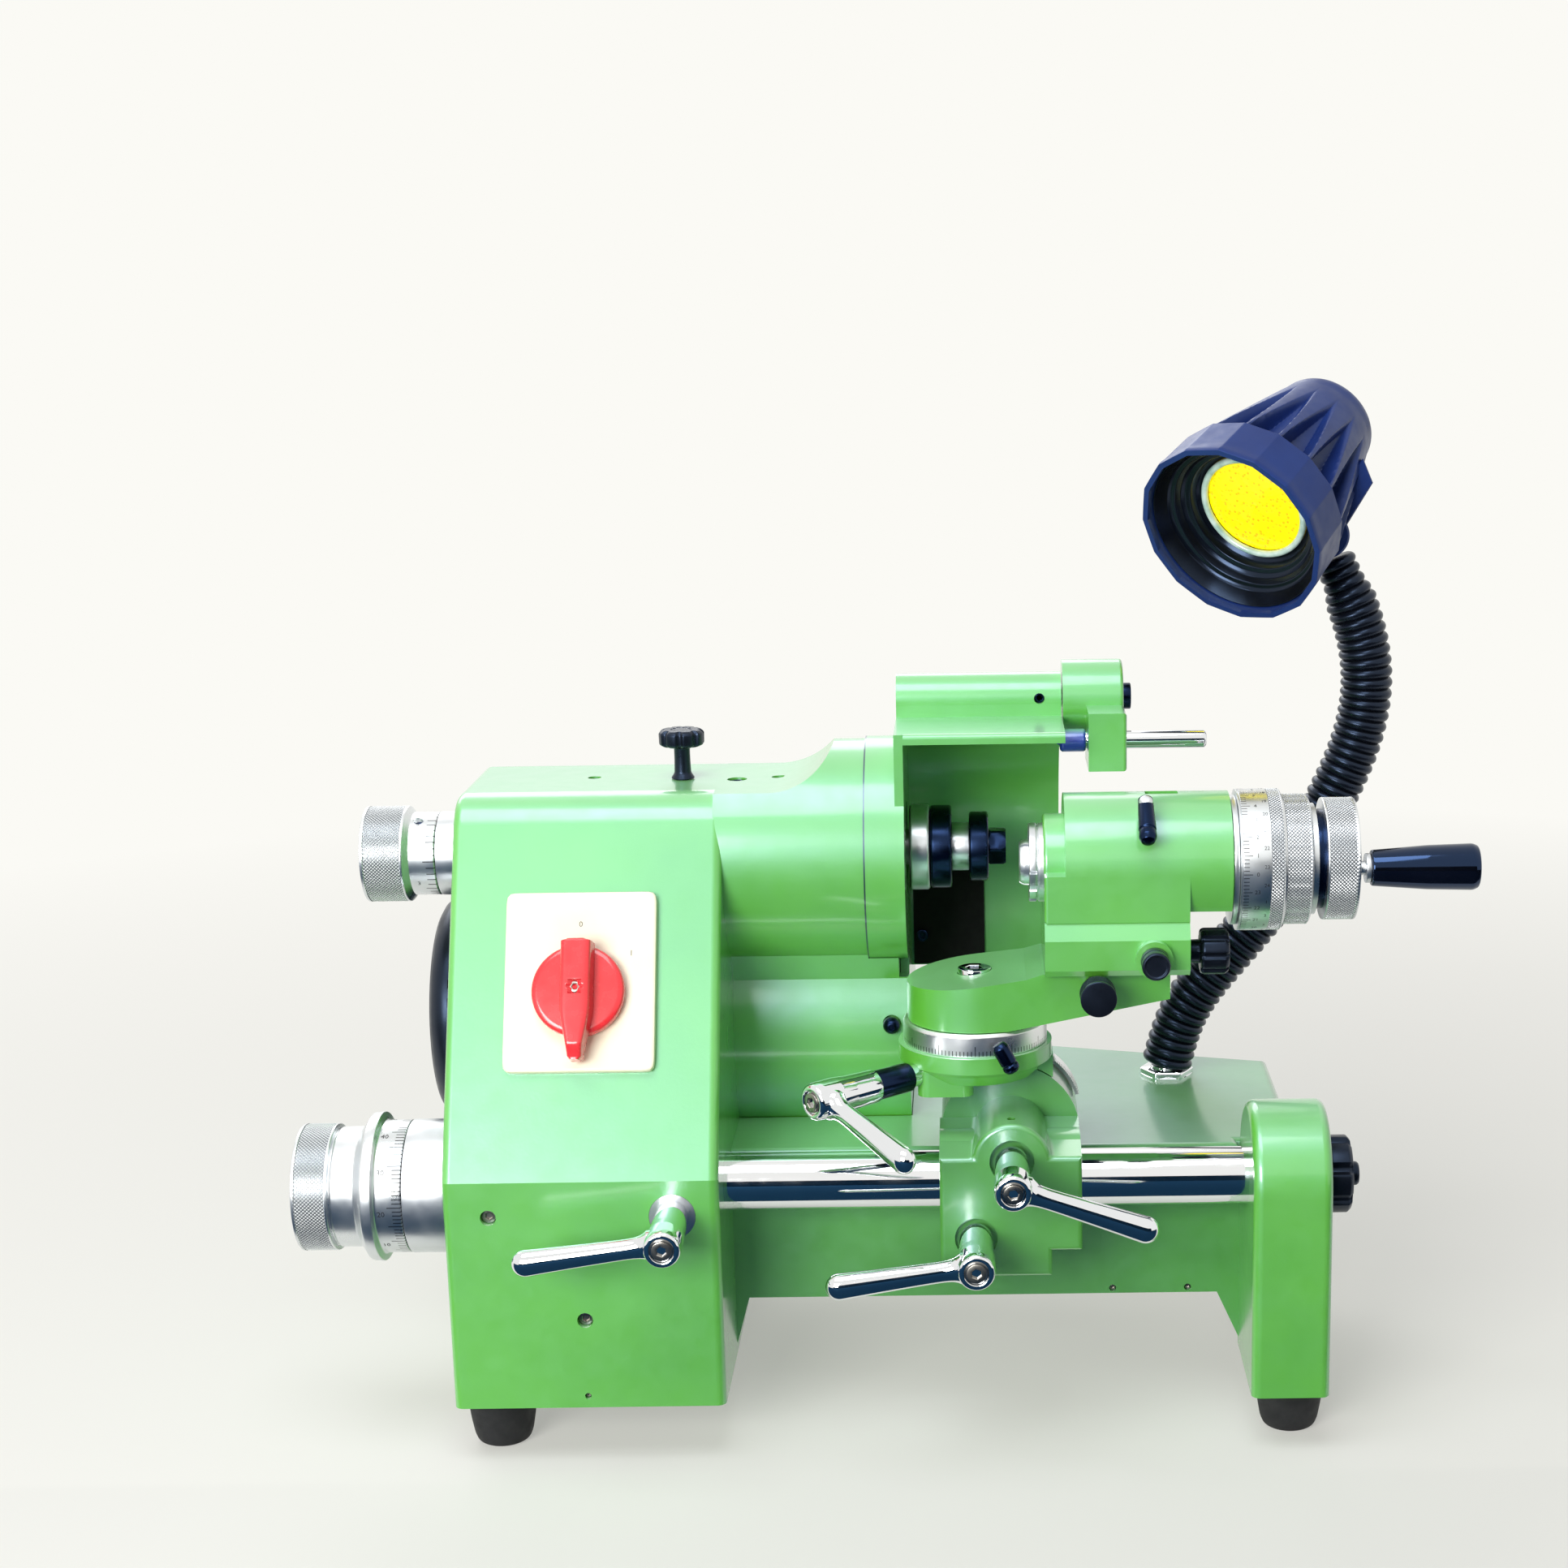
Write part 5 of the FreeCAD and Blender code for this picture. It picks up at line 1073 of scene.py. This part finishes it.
def smooth_line(points, count):
    """A natural cubic spline through points, by the distance between them, at count even lengths."""
    gaps = np.linalg.norm(np.diff(points, axis=0), axis=1)
    knots = np.concatenate([[0], np.cumsum(gaps)])
    size = len(points)
    system, right = np.eye(size), np.zeros((size, 2))
    for i in range(1, size - 1):
        system[i, i - 1:i + 2] = gaps[i - 1], 2 * (gaps[i - 1] + gaps[i]), gaps[i]
        right[i] = 6 * ((points[i + 1] - points[i]) / gaps[i] - (points[i] - points[i - 1]) / gaps[i - 1])
    bend = np.linalg.solve(system, right)
    u = np.linspace(0, knots[-1], 4000)
    k = np.clip(np.searchsorted(knots, u, "right") - 1, 0, size - 2)
    h, a, b = gaps[k][:, None], (knots[k + 1] - u)[:, None], (u - knots[k])[:, None]
    line = (bend[k] * a ** 3 + bend[k + 1] * b ** 3) / (6 * h)
    line = line + (points[k] / h - bend[k] * h / 6) * a + (points[k + 1] / h - bend[k + 1] * h / 6) * b
    run = np.concatenate([[0], np.cumsum(np.linalg.norm(np.diff(line, axis=0), axis=1))])
    even = np.linspace(0, run[-1], count)
    return np.stack([np.interp(even, run, line[:, i]) for i in (0, 1)], 1), run[-1]


line, hose_length = smooth_line(ROUTE, RIBS * ROWS_PER_RIB + 1)
ahead = np.gradient(line, axis=0)
ahead /= np.linalg.norm(ahead, axis=1, keepdims=True)
phase = np.arange(len(line)) / ROWS_PER_RIB
hose_radius = HOSE_GROOVE + RIB_HEIGHT * np.abs(np.sin(np.pi * phase)) ** 0.65
hose_radius -= 2.4 * smooth((phase / RIBS - 0.915) / 0.05)
hose_radius[0] = HOSE_GROOVE
t = np.arange(48) * 2 * np.pi / 48
out = hose_radius[:, None] * np.cos(t)
hose = np.stack([line[:, :1] + ahead[:, 1:] * out, HOSE_Y + hose_radius[:, None] * np.sin(t),
                 line[:, 1:] - ahead[:, :1] * out], -1)
make("gooseneck", hose_plastic, "machine_frame", "lamp_plastic", "lamp_gooseneck",
     capped(hose[:, ::-1]), sharp=60)
print("hose length", round(hose_length, 1), "mm")

# %% Hose nut
spun("hose_nut", chrome, "machine_frame", "chrome", "lamp_nut", "Z", (131, HOSE_Y),
     eased([(110, 4), (110, 6), (122, 6), (122, 13), (124.2, 13), (125, 12.2), (125, 8), (126.4, 7.6),
            (126.4, 4), (110, 4)], 0.4), 144, hexagon(11.4, 13, 121.9, 125.2))


# %% [markdown]
# ## Motor cowl
# The fan end of the motor sticks out at the left, under a black cowl. Air goes in through its face,
# which has rings of grooves, and out between ribs on its flank.

# %% Motor cowl
def cowl_slots(s, t):
    """Forty slots on the flank."""
    return -1.8 * smooth((np.cos(t * 40) - 0.1) / 0.3) * zone(s, -205, -195, 0.3)


cowl = [(-212.4, 0), (-212.4, 6), (-214.9, 6.6), (-214.9, 9)]
for inner in np.arange(10, 45, 5.0):
    cowl += [(-215, inner), (-212.6, inner + 0.3), (-212.6, inner + 2.5), (-215, inner + 2.8)]
cowl += [(-214.6, 48), (-212.6, 51.4), (-209.6, 54), (-207, 55), (-205, 55), (-204.8, 55), (-198, 55),
         (-195.2, 55), (-195, 55), (-190.2, 55), (-190.2, 52), (-206, 52), (-211, 45), (-211, 0)]
spun("fan_cowl", cowl_black, "machine_frame", "black_plastic", "motor_fan_cowl", "X", MOTOR,
     cowl, 320, cowl_slots)


# %% [markdown]
# ## Castings keep their solid shape
# The castings are right as the solid model has them, so they only take on a finish. So do the
# pieces that hide inside them, and the ones whose solid is already fine enough.

# %% Paint the solid pieces
# The bed casting and the carriage body take the darker copy of the green, as painted shade.
PAINTED = [
    (green, "column_casting motor_housing end_bracket covers swivel_base swivel_arm cross_slide"),
    (green, "workhead_body dresser_arm"), (shaded_green, "bed_casting carriage_body"),
    (guard_green, "wheel_guard"), (bar_chrome, "guide_bar"), (flap_rubber, "guard_flap"),
    (rubber, "drive_belt"), (cowl_black, "motor_body"), (knob_black, "switch_body"),
    (brass, "carriage_bush"), (turned_steel["X"], "bearing_sleeves motor_rotor motor_pulley"),
    (turned_steel["X"], "spindle_pulley spindle_quill spindle_bearings")]
dressing = {name: finish for finish, names in PAINTED for name in names.split()}
for name, finish in dressing.items():
    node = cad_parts[name]
    node.data.materials.clear()
    node.data.materials.append(finish.material)
shows = {name for name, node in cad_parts.items() if not node.hide_render}
bare = sorted(shows - set(dressing))
print(len(dressing), "solid pieces painted, left over:", bare)


# %% [markdown]
# ## Ground and backdrop
# The floor is plain and pale, and its far edge must not show. So it is lit like a wall that
# glows: near the machine it is an ordinary surface that takes soft shadows, and with distance it
# turns into an even cream, the same as the sky's. How far a point is from the machine is the
# length of its own position. The glow is for the camera and for mirrors; it lights nothing.

# %% Floor
CREAM = linear("FBFAF5")
floor = Finish("pale_floor", "E2E0DA", 0.6, Specular_IOR_Level=0.25)
floor.tone("E7E5DF", floor.noise(400, 3))
position = floor.node("ShaderNodeTexCoord", output="Object")
away = floor.other(floor.node("ShaderNodeVectorMath", {"operation": "LENGTH"}, {0: position}), "Value")
glow = floor.node("ShaderNodeEmission", None, {"Color": CREAM, "Strength": 1.0})
rays = floor.node("ShaderNodeLightPath", output="Is Camera Ray")
looked_at = rays + floor.other(rays, "Is Glossy Ray")
share = floor.between(away, 0.30, 1.4, 0.4, 1.0) * looked_at
plain = Sock(floor, floor.shader.outputs[0])
mixer = floor.node("ShaderNodeMixShader", None, {0: share, 1: plain, 2: glow})
floor.tree.links.new(mixer.socket, floor.tree.nodes["Material Output"].inputs["Surface"])


def stage_grid(name, finish, rows, columns, height=0):
    """A grid of points at the given y (rows), x (columns) and height, as a flat sheet of faces."""
    points = np.stack([columns, rows, height + 0 * rows], -1).reshape(-1, 3)
    sheet = mesh_object(name, finish, points, quads(*rows.shape, closed=False).tolist())
    return sheet


stage_grid("floor", floor, *np.meshgrid(np.linspace(-9, 9, 19), np.linspace(-9, 9, 19), indexing="ij"))

# %% [markdown]
# Chrome shows only what stands round it. A studio puts dark cards in front of a bright piece, so
# that its lower half turns dark and its shape can be read. One card lies on the floor before the
# machine, one stands far behind the camera, and only reflections see them.

# %% Dark cards
CARDS = {"floor_card": ((-0.11, 0.001), (-2.4, 0.001)), "front_card": ((-2.4, 0.001), (-2.6, 0.9))}
card_finish = Finish("dark_card", "1C3A52", 1.0, Specular_IOR_Level=0.0)
card_finish.tone("16304A", card_finish.noise(300, 2))
for name, (start, end) in CARDS.items():
    along, columns = np.meshgrid(np.linspace(0, 1, 5), np.linspace(-2.2, 2.2, 9), indexing="ij")
    rows, height = [start[i] + (end[i] - start[i]) * along for i in (0, 1)]
    card = stage_grid(name, card_finish, rows, columns, height)
    card.visible_camera = card.visible_diffuse = card.visible_shadow = card.visible_transmission = False


# %% [markdown]
# ## Light
# The key is a large soft panel high in front, a little to the left. A second one low in front on
# the left fills the shadows, and a third stands high behind for the rims. The sky shows white to
# the camera and to mirrors, but lights the matt surfaces only weakly: three kinds of ray are told
# apart, and each gets its own strength.

# %% Lamps and sky
def lamp(name, place, aim, size, power, colour=(1, 1, 1)):
    """A soft panel at a place that looks at another one, in metres and watts."""
    light = bpy.data.lights.new(name, "AREA")
    light.shape = "RECTANGLE"
    light.size, light.size_y = size
    light.energy = power
    light.color = colour
    holder = shown(bpy.data.objects.new(name, light))
    holder.location = place
    holder.rotation_euler = (Vector(aim) - Vector(place)).to_track_quat("-Z", "Y").to_euler()


lamp("key", (-0.25, -0.6, 1.6), (-0.02, -0.05, 0.2), (1.15, 0.8), 15.5, (0.9, 0.96, 1))
lamp("fill", (-0.8, -1.8, 0.75), (0, 0, 0.15), (1.0, 0.8), 37, (1, 1, 0.97))
lamp("rim", (-0.6, 1.5, 1.3), (0, 0, 0.2), (1.8, 0.9), 13)
world = bpy.data.worlds.new("studio")
world.use_nodes = True
bpy.context.scene.world = world
sky = Graph(world.node_tree)
background = world.node_tree.nodes["Background"]
background.inputs["Color"].default_value = CREAM
rays = sky.node("ShaderNodeLightPath", output="Is Camera Ray")
seen = rays + sky.other(rays, "Is Glossy Ray") + sky.other(rays, "Is Transmission Ray")
strength = sky.node("ShaderNodeMapRange", None, {"Value": seen, "To Min": 0.13, "To Max": 1.0})
world.node_tree.links.new(strength.socket, background.inputs["Strength"])
